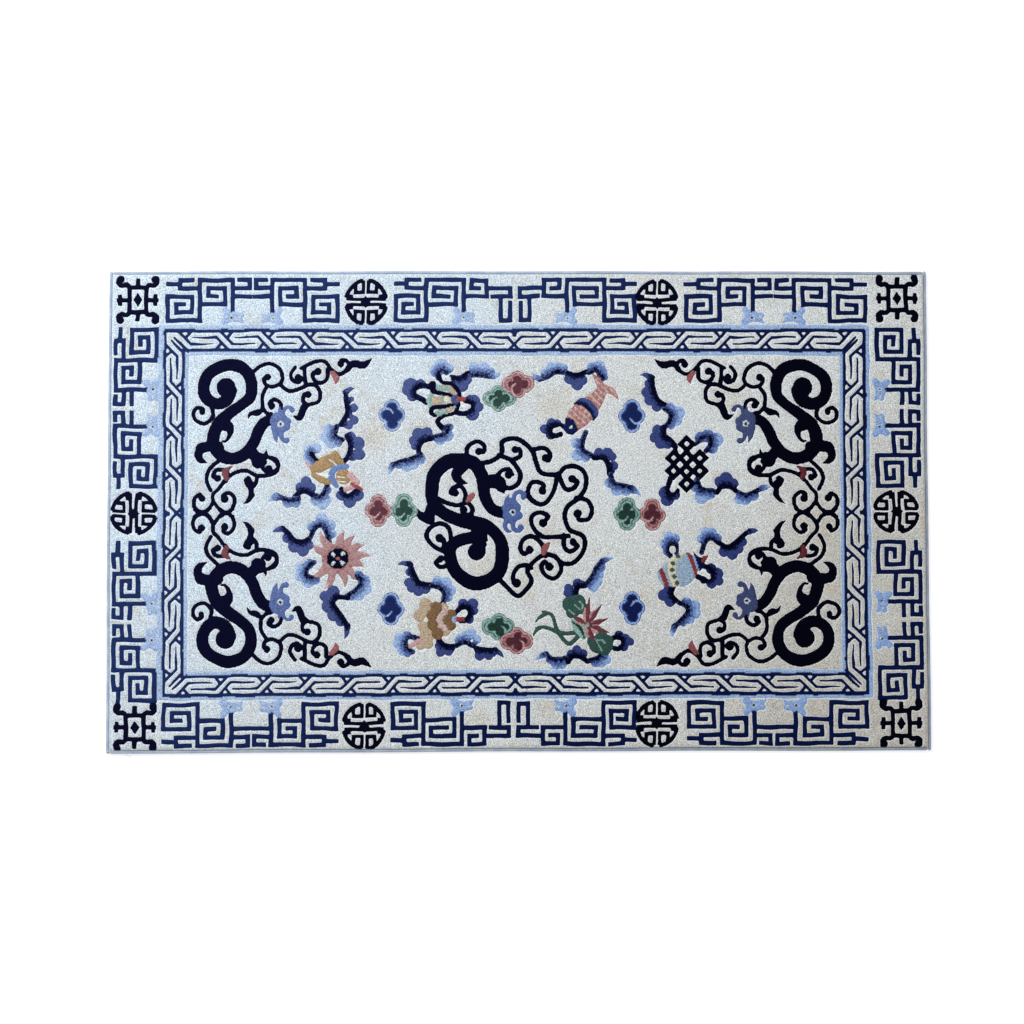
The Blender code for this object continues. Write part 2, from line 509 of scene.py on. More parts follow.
# Where each pair of frets is worked: the middle of the pair, and the step to its left and right
TOP_PAIRS = ((-503.6, 15.4, 15.4), (481.4, 15.9, 16.8))
BOTTOM_PAIRS = ((-502.9, 15.7, 15.3), (476.8, 15.3, 16.9))
SIDE_PAIRS = ((197.0, 14.2, 14.2), (-203.5, 14.1, 14.1))
# How many steps from the middle of a pair its halves begin. Then the same for the pairs at the
# middle of the long sides, with their step and their middles.
PAIR_STEPS = 10.4
MIDDLE_STEPS = 15.8
MIDDLE_STEP = 14.3
TOP_MIDDLE = -7.6
BOTTOM_MIDDLE = -12.0


def work_frets(weave):
    top, bottom = Side((0, 438), (1, 0), (0, -1), 15.3), Side((0, -434.5), (1, 0), (0, 1), 15.2)
    left, right = Side((-760, 0), (0, 1), (1, 0), 15.2), Side((757, 0), (0, 1), (-1, 0), 15.8)
    for side, pairs in ((top, TOP_PAIRS), (bottom, BOTTOM_PAIRS), (left, SIDE_PAIRS), (right, SIDE_PAIRS)):
        paths = FRET_SIDE if pairs is SIDE_PAIRS else FRET_PAIR
        for middle, low_step, high_step in pairs:
            work_fret(weave, side.chart(middle, -low_step, PAIR_STEPS), paths, 8)
            work_fret(weave, side.chart(middle, high_step, PAIR_STEPS), paths, 8)
    for side, middle in ((top, TOP_MIDDLE), (bottom, BOTTOM_MIDDLE)):
        for step in (-MIDDLE_STEP, MIDDLE_STEP):
            work_fret(weave, side.chart(middle, step, MIDDLE_STEPS), FRET_MIDDLE, 9)


class Side:
    """One side of the fret border: where its outer lattice line runs, and its directions."""

    def __init__(self, start, along, across, row):
        self.start, self.along, self.across, self.row = start, along, across, row

    def chart(self, middle, step, steps):
        """The chart of half a pair, whose steps count towards the pair's middle."""
        begin = middle + step * steps
        corner = tuple(s + a * begin for s, a in zip(self.start, self.along))
        return Across(corner, self.along, self.across, self.row, step=-step)


def work_roundel(weave, x, y, turn):
    """A plain lattice ornament in a ring, the same on all four sides of its middle."""
    for flip_x in (-1, 1):
        for flip_y in (-1, 1):
            figure = Figure(weave, Place(x, y, turn, flip_x, flip_y))
            turns = [math.radians(degrees) for degrees in range(15, 83, 9)]
            figure.stroke([(38.5 * math.cos(a), 41.5 * math.sin(a)) for a in turns], (7, 7.6, 7))
            figure.path(((5.0, 37.5), (5.0, 18.5), (20.0, 18.5), (20.0, 29.0)), 6.2)
            figure.path(((37.0, 11.5), (27.5, 11.5)), 5.6)
            figure.dye("navy")
    bars = Figure(weave, Place(x, y, turn))
    for row in (-5.6, 5.6):
        bars.bar((-34, row), (34, row), 6.0)
    bars.polygon(diamond(0, 0, 9, 12))
    bars.dye("navy")


def work_corner(weave, x, y):
    """A plain lattice ornament for the border's corner: a frame round a diamond, with two arms
    and curled ends."""
    figure = Figure(weave)
    for flip_x in (-1, 1):
        for flip_y in (-1, 1):
            figure.place = Place(x, y, 0, flip_x, flip_y)
            figure.path(((0, 22.5), (16, 22.5), (16, 0)), 8)
            figure.stroke(((15, 22), (21, 28), (30, 27), (36, 32), (35, 39)), (8.6, 8.6, 8.6, 8.4, 8.4))
            figure.disc(33, 39, 7.2)
            figure.bar((16, 0), (36, 0), 8)
            figure.bar((34, 0), (34, 7), 7.4)
            figure.bar((0, 22.5), (0, 36), 8)
    figure.place = Place(x, y)
    figure.polygon(diamond(0, 0, 8.5, 13))
    figure.dye("navy")


# Where the ornaments stand: roundels on the long and the short sides, and the corners
LONG_SIDE_ROUNDELS = ((-289.8, 396.5), (261.2, 395.5), (-291.8, -400), (257, -397.5))
SHORT_SIDE_ROUNDELS = ((-724, -0.6), (712.7, 0))
CORNER_ORNAMENTS = ((-719.6, 401), (717.6, 404), (-720, -400), (717, -398))


def work_ornaments(weave):
    for x, y in LONG_SIDE_ROUNDELS:
        work_roundel(weave, x, y, 0)
    for x, y in SHORT_SIDE_ROUNDELS:
        work_roundel(weave, x, y, 90)
    for x, y in CORNER_ORNAMENTS:
        work_corner(weave, x, y)


# The corner dragon's chart, in millimetres from the field's corner
CORNER_BODY = (
    (154, 121), (143, 127), (131, 146), (124, 164), (108, 185), (85, 194), (63, 187), (49, 169), (50, 146),
    (60, 125), (79, 109), (101, 93), (118, 75), (119, 50), (104, 25), (72, 18), (40, 34), (29, 61), (37, 82),
    (56, 91), (74, 82), (81, 66),
)
CORNER_STEMS = (
    ((154, 191), (168, 203), (168, 217), (152, 226), (131, 226), (111, 217), (90, 221), (72, 233), (58, 251),
     (49, 262), (50, 278)),
    ((60, 198), (42, 214), (36, 233), (44, 252)),
    ((120, 34), (136, 20), (154, 15), (172, 25), (178, 43), (175, 54), (188, 66), (204, 65), (223, 57)),
    ((222, 57), (220, 22)),
    ((214, 24), (239, 11), (257, 11), (268, 25), (284, 35), (300, 27)),
    ((223, 56), (239, 55), (249, 68), (246, 86), (227, 93), (218, 104)),
    ((150, 59), (140, 77), (140, 98)),
    ((140, 98), (148, 107), (158, 110)),
)
# Curls: the way in from where they leave their stem, and the ball that ends them
CORNER_CURLS = (
    (((45, 98), (47, 114), (33, 127), (15, 121), (12, 107), (19, 98), (29, 101)), (28, 106, 5.5)),
    (((150, 190), (166, 196), (170, 210), (158, 222)), None),
    (((146, 200), (141, 209), (147, 218), (156, 216)), (153, 212, 6)),
    (((72, 236), (77, 226), (68, 215), (54, 216), (49, 227)), (57, 230, 6.5)),
    (((49, 276), (38, 291), (24, 294), (13, 284), (14, 268), (24, 261)), (28, 269, 6.5)),
    (((51, 276), (63, 292), (76, 296), (87, 284), (88, 268), (78, 258), (68, 262)), (71, 270, 7)),
    (((26, 294), (14, 303)), None),
    (((26, 294), (42, 304)), None),
    (((74, 295), (62, 303)), None),
    (((74, 295), (86, 303)), None),
    (((131, 226), (130, 240), (121, 248), (113, 243), (110, 234)), (115, 233, 6)),
    (((172, 54), (161, 59), (148, 56), (143, 45)), (150, 41, 6.5)),
    (((202, 22), (194, 34), (197, 47), (208, 51), (214, 44)), (208, 42, 6.5)),
    (((262, 26), (261, 44), (250, 51), (238, 45), (236, 33)), (244, 30, 7)),
    (((298, 29), (305, 22), (300, 11), (290, 9)), (288, 16, 6.5)),
    (((227, 93), (217, 86), (218, 74)), (226, 73, 6.5)),
    (((176, 103), (175, 90), (163, 83), (153, 90)), (158, 95, 6.5)),
)
CORNER_LEAVES = (
    (((140, 100), (131, 107), (119, 110), (114, 120)), (6, 13, 8, 1)),
    (((122, 262), (119, 250), (120, 240)), (9, 10, 10)),
    (((104, 279), (112, 274), (119, 264), (120, 252)), (1, 8, 11, 10)),
    (((298, 27), (312, 15), (330, 18), (346, 6)), (8, 13, 14, 1)),
    (((218, 96), (214, 108), (209, 117), (197, 112)), (12, 13, 11, 1)),
)
# How the chart differs at the right corners: moved out, widened, and closing up towards the middle
RIGHT_CORNER_SHIFT = 6.4
RIGHT_CORNER_WIDENING = 1.0885
RIGHT_CORNER_CLOSING = 0.000142
CORNER_BUDS = (
    (((74, 231), (71, 219), (84, 209)), "bud_dark"),
    (((272, 33), (279, 44), (277, 54)), "rose"),
)


def joined(points, ball):
    """A curl's way in, carried on into its ball."""
    return (*points, ball[:2]) if ball else points


def work_corner_dragon(weave, flip_x, flip_y):
    """The scrolling dragon in one corner of the field, worked a little wider on the right."""
    y = FIELD["top"] if flip_y > 0 else FIELD["bottom"]
    place = Place(FIELD["left"], y, 0, 1, -flip_y)
    if flip_x < 0:
        x = FIELD["right"] + RIGHT_CORNER_SHIFT
        place = Place(x, y, 0, -RIGHT_CORNER_WIDENING, -flip_y, closing=RIGHT_CORNER_CLOSING)
    body = Figure(weave, place)
    body.stroke(CORNER_BODY, (20, 21, 23, 24, 24, 22, 20, 22, 24, 22, 22, 22, 24))
    body.disc(72, 60, 18)
    body.stroke(((62, 128), (76, 133), (80, 142), (78, 153), (72, 161), (66, 161)), (16, 23, 16, 9, 6, 3))
    body.stroke(((58, 173), (40, 171), (26, 173)), (22, 21, 20))
    body.stroke(((24, 174), (20, 187), (25, 197), (38, 203)), (18, 15, 11, 1))
    body.stroke(((118, 176), (128, 190), (140, 192)), (18, 22, 18))
    body.stroke(((143, 192), (148, 185), (149, 176)), (11, 6, 1))
    body.disc(132, 200, 12)
    for points in CORNER_STEMS:
        body.stroke(points, STEM)
    for points, ball in CORNER_CURLS:
        body.stroke(joined(points, ball), STEM, ball)
    for points, widths in CORNER_LEAVES:
        body.stroke(points, widths)
    body.dye("navy")
    for points, yarn in CORNER_BUDS:
        Figure(weave, place).stroke(points, (9, 12, 1)).dye(yarn)
    head = Figure(weave, place)
    head.discs(((172, 123, 17), (177, 130, 16), (170, 136, 13), (187, 124, 7.5), (186, 135, 7.5)))
    head.stroke(((178, 112), (183, 101), (189, 96), (196, 98)), (10, 6.5, 6, 6))
    head.disc(197, 102, 4.8)
    head.stroke(((176, 108), (173, 101), (175, 96)), (8, 5, 1))
    head.stroke(((165, 141), (166, 154), (169, 165)), (14, 9, 1))
    head.stroke(((176, 142), (177, 152), (180, 160), (186, 163)), (13, 8, 7, 7))
    head.disc(187, 160, 5)
    # The right-hand heads take the darker copy of the slate, painted shade
    head.dye("slate" if flip_x > 0 else "slate_shaded")
    work_eye(weave, place, 5.8, 2.8, 175, 129)


# The middle dragon's chart, in millimetres from the rug's middle
CENTRE_BODY = (
    (-28, -3), (-51, 5), (-63, 26), (-68, 50), (-71, 70), (-83, 89), (-107, 97), (-135, 94), (-157, 74),
    (-164, 45), (-162, 19), (-145, 0), (-116, -15), (-85, -21), (-58, -29), (-37, -51), (-31, -82),
    (-39, -113), (-61, -130), (-90, -133), (-116, -116), (-129, -87), (-126, -63), (-104, -51), (-80, -48),
    (-72, -62),
)
CENTRE_STEMS = (
    ((-71, 91), (-51, 96), (-34, 110), (-32, 132), (-13, 139), (7, 132), (26, 115), (31, 94), (40, 74),
     (64, 70), (76, 72), (88, 84), (110, 84), (124, 70), (124, 45), (110, 24), (91, 9), (85, -10),
     (93, -32), (105, -39), (120, -46), (124, -63), (117, -82), (100, -97), (79, -95), (67, -84),
     (50, -81), (35, -87), (16, -109), (23, -130), (11, -149), (-3, -157), (-22, -142), (-44, -122)),
    ((-39, 106), (-15, 96), (2, 74), (-1, 55), (-18, 45), (-34, 50)),
)
CENTRE_CURLS = (
    (((-99, 106), (-97, 123), (-80, 133), (-66, 125), (-67, 112)), (-76, 113, 7)),
    (((-14, 97), (2, 105), (1, 118)), (-8, 117, 7)),
    (((28, 118), (46, 120), (58, 110), (55, 97)), (49, 101, 7)),
    (((76, 70), (86, 43), (101, 43), (109, 56)), (100, 61, 7.5)),
    (((73, 72), (66, 42), (48, 16), (31, 17), (16, 34), (24, 54), (45, 52)), (43, 39, 7.5)),
    (((108, 26), (128, 22), (136, 4), (131, -14), (114, -16)), (110, -4, 8)),
    (((93, -46), (70, -48), (46, -47), (26, -30), (23, -10), (38, -1), (54, -8)), (45, -21, 8)),
    (((84, -44), (84, -66), (96, -74), (110, -65)), (101, -57, 7)),
    (((50, -83), (44, -62), (26, -47), (8, -52), (1, -68), (8, -79)), (19, -71, 7.5)),
    (((76, -92), (79, -110), (66, -125), (49, -119), (42, -103), (48, -94)), (57, -103, 7.5)),
    (((24, -106), (14, -100), (-2, -104), (-12, -119), (-10, -133)), (-4, -134, 8)),
    (((-128, -56), (-132, -32), (-150, -22), (-168, -30), (-174, -47), (-164, -62), (-148, -71), (-134, -78)),
     None),
    (((-142, -66), (-142, -52)), (-150, -49, 8)),
    (((-134, -101), (-148, -104), (-157, -94)), (-148, -88, 7)),
    (((-156, 26), (-135, 17), (-116, 13), (-98, 17), (-88, 6)), None),
    (((-104, 16), (-102, 34), (-110, 48), (-124, 46), (-130, 37)), (-121, 36, 6.5)),
    (((-94, 15), (-88, 3), (-94, -6), (-106, -5)), (-105, 4, 7)),
)
CENTRE_BUDS = (
    (((-98, 19), (-92, 26), (-87, 31)), (5, 13, 10)),
    (((46, -76), (50, -67), (58, -59)), (11, 12, 3)),
)


def work_centre_dragon(weave):
    """The coiled dragon in the middle of the field."""
    body = Figure(weave)
    body.stroke(CENTRE_BODY, (20, 21, 22, 25, 27, 27, 25, 22, 24, 26, 24, 24, 25, 26, 26, 24, 22, 22, 20))
    body.disc(-80, -75, 17)
    body.polygon(((-92, -30), (-64, -34), (-61, -44), (-60, -55), (-70, -57), (-88, -46)))
    body.stroke(((-104, 84), (-118, 72), (-114, 60), (-97, 53)), (18, 22, 13, 2))
    body.stroke(((-162, 18), (-168, 2), (-170, -12)), (16, 20, 22))
    body.stroke(((-172, -14), (-186, -6), (-192, 6)), (18, 16, 1))
    body.stroke(((-66, 50), (-52, 58), (-38, 54), (-30, 40)), (18, 26, 26, 8))
    body.stroke(((-44, 64), (-34, 76), (-19, 80), (-12, 70)), (11, STEM, STEM, 7))
    body.disc(-20, 69, 7)
    body.stroke(((-36, 44), (-28, 34)), (14, 1))
    for points in CENTRE_STEMS:
        body.stroke(points, STEM + 1.7)
    for points, ball in CENTRE_CURLS:
        body.stroke(joined(points, ball), STEM + 1.2, ball)
    body.dye("navy")
    for points, widths in CENTRE_BUDS:
        Figure(weave).stroke(points, widths).dye("rose")
    head = Figure(weave)
    head.discs(((-16, -2, 16), (-14, 13, 13), (-24, 6, 9), (-3, -7, 9), (-5, 9, 9), (-15, -11, 12)))
    head.stroke(((-25, 12), (-23, 24), (-18, 33)), (10, 8, 1))
    head.stroke(((-10, 20), (-8, 33), (0, 38.5), (9, 34.5)), (8.5, 7.5, 7.5, 7))
    head.disc(8.5, 29, 5.4)
    head.stroke(((-23, -13), (-26, -25), (-23, -34), (-16, -37)), (10, 8, 7.5, 4))
    head.stroke(((-10, -15), (-12, -27), (-7, -35), (1, -36), (6, -31)), (9, 7.5, 7.5, 7, 6))
    head.disc(2, -29, 4.6)
    head.dye("slate")
    work_eye(weave, Place(), 6.2, 3.0, -13, -1.5)


# Ribbon clouds: shading, the dark line along the hollow side, the lobes, and the tip
RIBBONS = {
    "canopy": (
        ("light", ((-153, 252), (-153, 262), (-144, 267), (-138, 262)),
         ((-156, 266, 13), (-146, 276, 13), (-134, 271, 10)), None),
        ("dark", ((-128, 254), (-113, 252), (-97, 261)),
         ((-117, 246, 11), (-106, 237, 10), (-98, 249, 9)), None),
        ("light", ((-92, 258), (-77, 259), (-60, 257), (-48, 256)),
         ((-85, 272, 10), (-66, 271, 11), (-55, 264, 9)), (-35, 261)),
        ("dark", ((-171, 235), (-186, 238), (-197, 230), (-195, 219), (-183, 212), (-176, 207)),
         ((-204, 237, 15), (-211, 229, 10), (-201, 218, 10), (-186, 241, 9)), None),
        ("dark", ((-116, 186), (-101, 185), (-89, 192), (-91, 205), (-102, 210)),
         ((-85, 209, 11), (-76, 197, 9), (-88, 184, 12), (-94, 213, 7)), None),
        ("light", ((-144, 156), (-133, 160), (-141, 146), (-158, 142)),
         ((-130, 159, 7), (-133, 143, 10), (-148, 137, 11), (-159, 139, 6)), None),
        ("dark", ((-165, 138), (-181, 133), (-189, 122), (-190, 112)),
         ((-174, 149, 10), (-190, 147, 11), (-198, 134, 9), (-197, 123, 7)), None),
        ("light", ((-186, 108), (-203, 100), (-224, 95), (-237, 89)),
         ((-186, 100, 10), (-199, 90, 10), (-212, 85, 10), (-226, 88, 7)), (-245, 69)),
    ),
    "fish": (
        ("light", ((38, 250), (52, 254), (69, 264), (84, 262)),
         ((61, 273, 10), (74, 273, 10), (84, 272, 8), (48, 262, 8)), (23, 261)),
        ("dark", ((91, 261), (108, 257), (127, 264)),
         ((96, 250, 10), (110, 240, 11), (120, 248, 9)), None),
        ("light", ((132, 262), (145, 267), (154, 257), (159, 251)),
         ((137, 274, 9), (152, 274, 11), (159, 263, 9), (163, 254, 6)), None),
        ("dark", ((81, 161), (64, 162), (58, 151), (65, 142), (78, 145)),
         ((62, 167, 9), (49, 156, 9), (60, 144, 9), (73, 168, 6)), None),
        ("light", ((127, 149), (120, 131), (120, 117), (135, 107)),
         ((109, 129, 10), (110, 106, 11), (125, 101, 8)), None),
        ("dark", ((142, 101), (159, 101), (169, 87), (171, 70)),
         ((150, 112, 9), (166, 110, 11), (176, 103, 8), (179, 86, 8), (174, 77, 7)), None),
        ("light", ((173, 70), (178, 55), (194, 50), (212, 45)),
         ((170, 54, 9), (184, 41, 11), (200, 40, 10), (214, 40, 7)), (230, 28)),
    ),
    "knot": (
        ("dark", ((251, 253), (255, 230), (262, 212), (276, 202)),
         ((241, 226, 10), (247, 211, 11), (260, 199, 10), (245, 242, 8)), (228, 258)),
        ("light", ((276, 195), (287, 185), (285, 171), (276, 160)),
         ((287, 197, 9), (302, 187, 12), (299, 172, 10), (288, 163, 8)), None),
        ("dark", ((274, 159), (275, 144), (289, 133), (297, 116)),
         ((261, 153, 10), (256, 140, 10), (268, 129, 10), (281, 127, 8)), None),
        ("light", ((335, 126), (346, 140), (361, 140), (363, 126), (354, 115)),
         ((343, 139, 11), (357, 143, 12), (373, 135, 13), (366, 119, 10)), None),
        ("dark", ((285, 62), (280, 44), (284, 29), (298, 40)),
         ((274, 36, 11), (280, 23, 12), (294, 32, 10)), None),
        ("light", ((335, 60), (343, 42), (366, 39)), ((334, 45, 9), (345, 27, 13), (359, 32, 10)), None),
        ("dark", ((373, 37), (382, 47), (398, 47), (411, 38)),
         ((378, 56, 10), (391, 61, 13), (406, 53, 9)), None),
        ("light", ((415, 36), (427, 31), (443, 37), (458, 44)),
         ((415, 22, 9), (427, 22, 11), (443, 29, 9)), (475, 46)),
    ),
    "wheel": (
        ("dark", ((-444, -31), (-433, -40), (-423, -53), (-406, -55), (-392, -46)),
         ((-436, -49, 9), (-423, -64, 11), (-406, -71, 11), (-396, -61, 9)), (-463, -37)),
        ("light", ((-392, -45), (-381, -28), (-369, -26), (-360, -40), (-356, -55)),
         ((-389, -27, 10), (-371, -14, 12), (-356, -24, 11), (-351, -40, 8)), None),
        ("light", ((-384, -94), (-398, -105), (-400, -117), (-389, -123), (-375, -117)),
         ((-395, -97, 10), (-411, -105, 10), (-411, -120, 11), (-396, -130, 12), (-381, -128, 7)), None),
        ("light", ((-310, -120), (-299, -122), (-300, -137), (-312, -149), (-323, -156)),
         ((-301, -118, 9), (-290, -128, 10), (-288, -144, 11), (-301, -156, 10), (-314, -158, 8)), None),
        ("dark", ((-321, -160), (-341, -160), (-349, -172), (-335, -194), (-322, -213)),
         ((-349, -149, 12), (-365, -157, 10), (-360, -176, 12), (-349, -192, 12), (-335, -203, 10)),
         (-329, -237)),
    ),
    "conch": (
        ("dark", ((-205, -98), (-197, -120), (-188, -133), (-167, -138)),
         ((-207, -133, 9), (-203, -143, 8), (-189, -148, 10), (-175, -145, 9), (-207, -113, 7)), (-229, -98)),
        ("light", ((-164, -140), (-151, -142), (-141, -152), (-143, -170)),
         ((-153, -131, 10), (-137, -133, 10), (-129, -147, 10), (-133, -160, 8)), None),
        ("dark", ((-119, -189), (-111, -180), (-97, -180), (-92, -192), (-101, -203), (-111, -205)),
         ((-106, -172, 9), (-87, -173, 10), (-85, -187, 8), (-93, -202, 8)), None),
        ("light", ((-190, -239), (-206, -234), (-213, -247), (-208, -258), (-200, -262)),
         ((-212, -232, 9), (-226, -236, 9), (-230, -247, 8), (-221, -259, 9), (-210, -263, 8)), None),
        ("dark", ((-152, -239), (-141, -250), (-123, -252)),
         ((-153, -251, 7), (-149, -262, 9), (-133, -262, 8), (-128, -258, 6)), None),
        ("light", ((-119, -251), (-104, -244), (-89, -251)),
         ((-114, -240, 8), (-104, -233, 9), (-91, -228, 10), (-80, -239, 8)), None),
        ("dark", ((-82, -256), (-63, -260), (-45, -260)),
         ((-76, -271, 9), (-59, -271, 8), (-50, -265, 7)), (-30, -274)),
    ),
    "lotus": (
        ("light", ((157, -93), (145, -105), (138, -120), (127, -135)),
         ((152, -105, 10), (150, -120, 9), (147, -132, 10), (140, -142, 9)), (179, -89)),
        ("dark", ((123, -139), (110, -141), (106, -154)),
         ((110, -135, 9), (119, -136, 6), (93, -144, 8), (92, -153, 8)), None),
        ("dark", ((174, -237), (186, -234), (193, -246), (186, -258), (175, -255)),
         ((187, -232, 9), (199, -237, 8), (207, -244, 8), (196, -255, 8)), None),
        ("light", ((49, -267), (63, -277), (86, -274)),
         ((57, -278, 7), (68, -286, 9), (79, -286, 8)), (29, -279)),
        ("dark", ((90, -281), (98, -271), (111, -271), (127, -281)),
         ((96, -266, 8), (108, -259, 9), (120, -266, 8)), None),
        ("light", ((132, -279), (142, -276), (152, -270)),
         ((142, -284, 8), (153, -284, 9), (162, -278, 9)), None),
    ),
    "jar": (
        ("light", ((296, -76), (296, -63), (286, -59), (280, -69), (285, -82)),
         ((283, -48, 10), (293, -51, 10), (275, -61, 10), (279, -74, 8)), None),
        ("light", ((344, -76), (350, -57), (363, -50), (374, -58)),
         ((342, -52, 8), (352, -40, 10), (364, -41, 10), (375, -50, 8)), None),
        ("dark", ((378, -60), (392, -67), (408, -58), (424, -43), (435, -37)),
         ((385, -76, 9), (401, -81, 10), (412, -70, 10), (422, -57, 8)), (452, -36)),
        ("dark", ((349, -103), (363, -110), (364, -123), (354, -131), (336, -123)),
         ((362, -108, 10), (373, -117, 11), (376, -131, 8), (362, -136, 9), (348, -130, 7)), None),
        ("dark", ((290, -141), (286, -157), (297, -169)),
         ((280, -147, 8), (271, -157, 10), (283, -169, 10)), None),
        ("light", ((300, -171), (314, -177), (318, -188), (305, -204), (291, -216)),
         ((315, -170, 9), (330, -178, 11), (332, -191, 10), (321, -203, 9), (308, -211, 6)), (287, -237)),
    ),
    "gourd": (
        ("dark", ((-327, 226), (-326, 204), (-324, 186), (-335, 166)),
         ((-316, 213, 5), (-312, 196, 8), (-310, 173, 8), (-321, 164, 8)), (-309, 234)),
        ("light", ((-343, 163), (-348, 145), (-334, 137)),
         ((-358, 155, 11), (-364, 141, 10), (-354, 130, 10), (-342, 132, 9)), None),
        ("dark", ((-325, 145), (-317, 124), (-322, 104), (-332, 93)),
         ((-318, 142, 10), (-302, 130, 12), (-301, 109, 11), (-314, 106, 10)), None),
        ("light", ((-392, 110), (-377, 92)),
         ((-394, 118, 11), (-382, 121, 10), (-398, 104, 9), (-391, 94, 7)), None),
        ("light", ((-362, 51), (-372, 32), (-385, 33)),
         ((-362, 42, 8), (-382, 22, 10), (-366, 22, 12), (-370, 13, 9)), None),
        ("dark", ((-389, 34), (-405, 40), (-421, 30)),
         ((-401, 57, 10), (-393, 46, 10), (-412, 46, 9)), None),
        ("light", ((-414, 26), (-433, 24), (-453, 29)),
         ((-420, 18, 9), (-436, 18, 9), (-457, 29, 8)), (-472, 19)),
        ("dark", ((-334, 44), (-324, 30), (-306, 41)),
         ((-335, 32, 10), (-319, 20, 12), (-304, 32, 11)), None),
    ),
}
CLOUD_YARNS = {
    "dark": ("navy", "blue_deep", "blue_mid", "blue_mid", "blue_mid"),
    "light": ("navy", "blue_mid", "blue_light", "blue_light", "blue_pale", "blue_pale"),
}
# How a ribbon cloud is worked: how far its shading reaches and how much its yarns mix, its
# width, a lobe's neck as a share of the lobe, and the bend and widths of its tip
CLOUD_SHADE_REACH = 19.0
CLOUD_MIXING = 0.34
RIBBON_WIDTH = 9.5
LOBE_NECK = 1.3
TIP_BEND = 0.12
TIP_WIDTHS = (12, 9, 0.6)


def work_ribbon(weave, name):
    for shading, line, lobes, tip in RIBBONS[name]:
        figure = Figure(weave)
        figure.stroke(line, RIBBON_WIDTH)
        for x, y, radius in lobes:
            figure.disc(x, y, radius)
            near = min(line, key=lambda spot: math.dist(spot, (x, y)))
            figure.stroke(((x, y), near), (radius * LOBE_NECK, RIBBON_WIDTH))
        if tip:
            end = min(line[0], line[-1], key=lambda spot: math.dist(spot, tip))
            neighbour = line[1] if end == line[0] else line[-2]
            bend = tuple((e + t) / 2 + TIP_BEND * (e - n) for e, t, n in zip(end, tip, neighbour))
            figure.stroke((end, bend, tip), TIP_WIDTHS)
        figure.shade(line, CLOUD_SHADE_REACH, CLOUD_YARNS[shading], CLOUD_MIXING, tip)


def work_slots(weave, *slots):
    """The bare ground seen through a loop of ribbon."""
    for points, width in slots:
        Figure(weave).stroke(points, width).clear()


def work_canopy(weave):
    work_ribbon(weave, "canopy")
    work_slots(
        weave,
        (((-190, 226), (-175, 221)), 9),
        (((-112, 195), (-96, 198)), 10),
        (((-145, 250), (-133, 252)), 7),
    )
    for strip in (
        ((-154, 234), (-144, 233), (-133, 233), (-121, 225)),
        ((-154, 186), (-138, 189), (-121, 200)),
    ):
        Figure(weave).stroke(strip, (8, 10, 10, 7)).dye("tan")
        Figure(weave).stroke(strip[:2], (10, 9)).dye("teal", carved=False)
        Figure(weave).stroke(((strip[2][0] - 3, strip[2][1]), strip[2]), 9).dye("teal", carved=False)
    panel = Figure(weave)
    panel.polygon(((-176, 210), (-168, 225), (-160, 218), (-164, 207), (-164, 197), (-170, 195)))
    panel.dye("teal")
    Figure(weave).path(((-158, 210), (-150, 210)), 14).dye("tan")
    Figure(weave).path(((-142, 215), (-142, 209)), 9).dye("teal")
    Figure(weave).path(((-135, 212), (-133, 212)), 12).dye("cream")
    snakes = Figure(weave)
    snakes.stroke(((-163, 239), (-161, 227), (-144, 223), (-126, 221)), (14, 8, 7, 6))
    snakes.stroke(((-122, 203), (-144, 198), (-163, 197), (-166, 188), (-159, 182)), (6, 7, 7, 8, 7))
    snakes.stroke(((-152, 256), (-145, 244), (-128, 242), (-116, 231), (-112, 220)), (9, 6, 6, 7, 7))
    snakes.stroke(((-114, 204), (-121, 186), (-142, 180), (-154, 171), (-147, 160)), (7, 7, 6, 8, 11))
    snakes.dye("navy")
    Figure(weave).disc(-120, 213, 9).dye("blue_mid")
    Figure(weave).stroke(((-115, 213), (-106, 213)), 8.6).dye("red")


# The fish's scales, in slanting rows: sizes in millimetres
SCALE_ROW = 9.0
SCALE_WIDTH = 11.0
SCALE_SHIFT = 0.2
SCALE_RADIUS = 5.4
SCALE_MARGIN = 1.5
DIAGONAL = 0.7071


def work_fish(weave):
    work_ribbon(weave, "fish")
    work_slots(weave, (((67, 151), (76, 156)), 8))
    body = Figure(weave)
    body.stroke(((159, 234), (145, 212), (127, 192), (111, 176), (98, 160)), (15, 29, 40, 44, 28))
    body.stroke(((157, 230), (150, 245), (139, 259)), (16, 13, 1))
    body.stroke(((157, 232), (175, 228), (188, 211)), (16, 13, 1))
    body.dye("fish_rose")
    area = body.area()
    x, y = weave.drawn_x[area], weave.drawn_y[area]
    along, across = (x + y) * DIAGONAL, (x - y) * DIAGONAL
    row = np.floor(along / SCALE_ROW)
    half = SCALE_WIDTH / 2
    from_middle = (across + half * (row % 2)) % SCALE_WIDTH - half
    from_edge = np.hypot(along - (row + SCALE_SHIFT) * SCALE_ROW, from_middle)
    scales = (body.depth[area] > SCALE_MARGIN) & (from_edge > SCALE_RADIUS)
    weave.yarn[area][scales] = YARNS["fish_pale"]
    band = Figure(weave).stroke(((104, 207), (126, 206), (142, 188), (142, 168)), (9, 17, 17, 4))
    band.keep(body, 4.0).shade(((108, 200), (126, 192), (136, 170)), 17, ("navy", "blue_deep", "blue_mid"))
    head = Figure(weave)
    head.polygon(((88, 178), (102, 175), (112, 153), (103, 145), (91, 146), (83, 154)))
    head.dye("blue_deep")
    Figure(weave).disc(98, 159, 3.2).dye("ivory")


# The endless knot: half the width of its squares and of the holes in them, in millimetres
LATTICE_SQUARE = 17.5
LATTICE_HOLE = 5.8


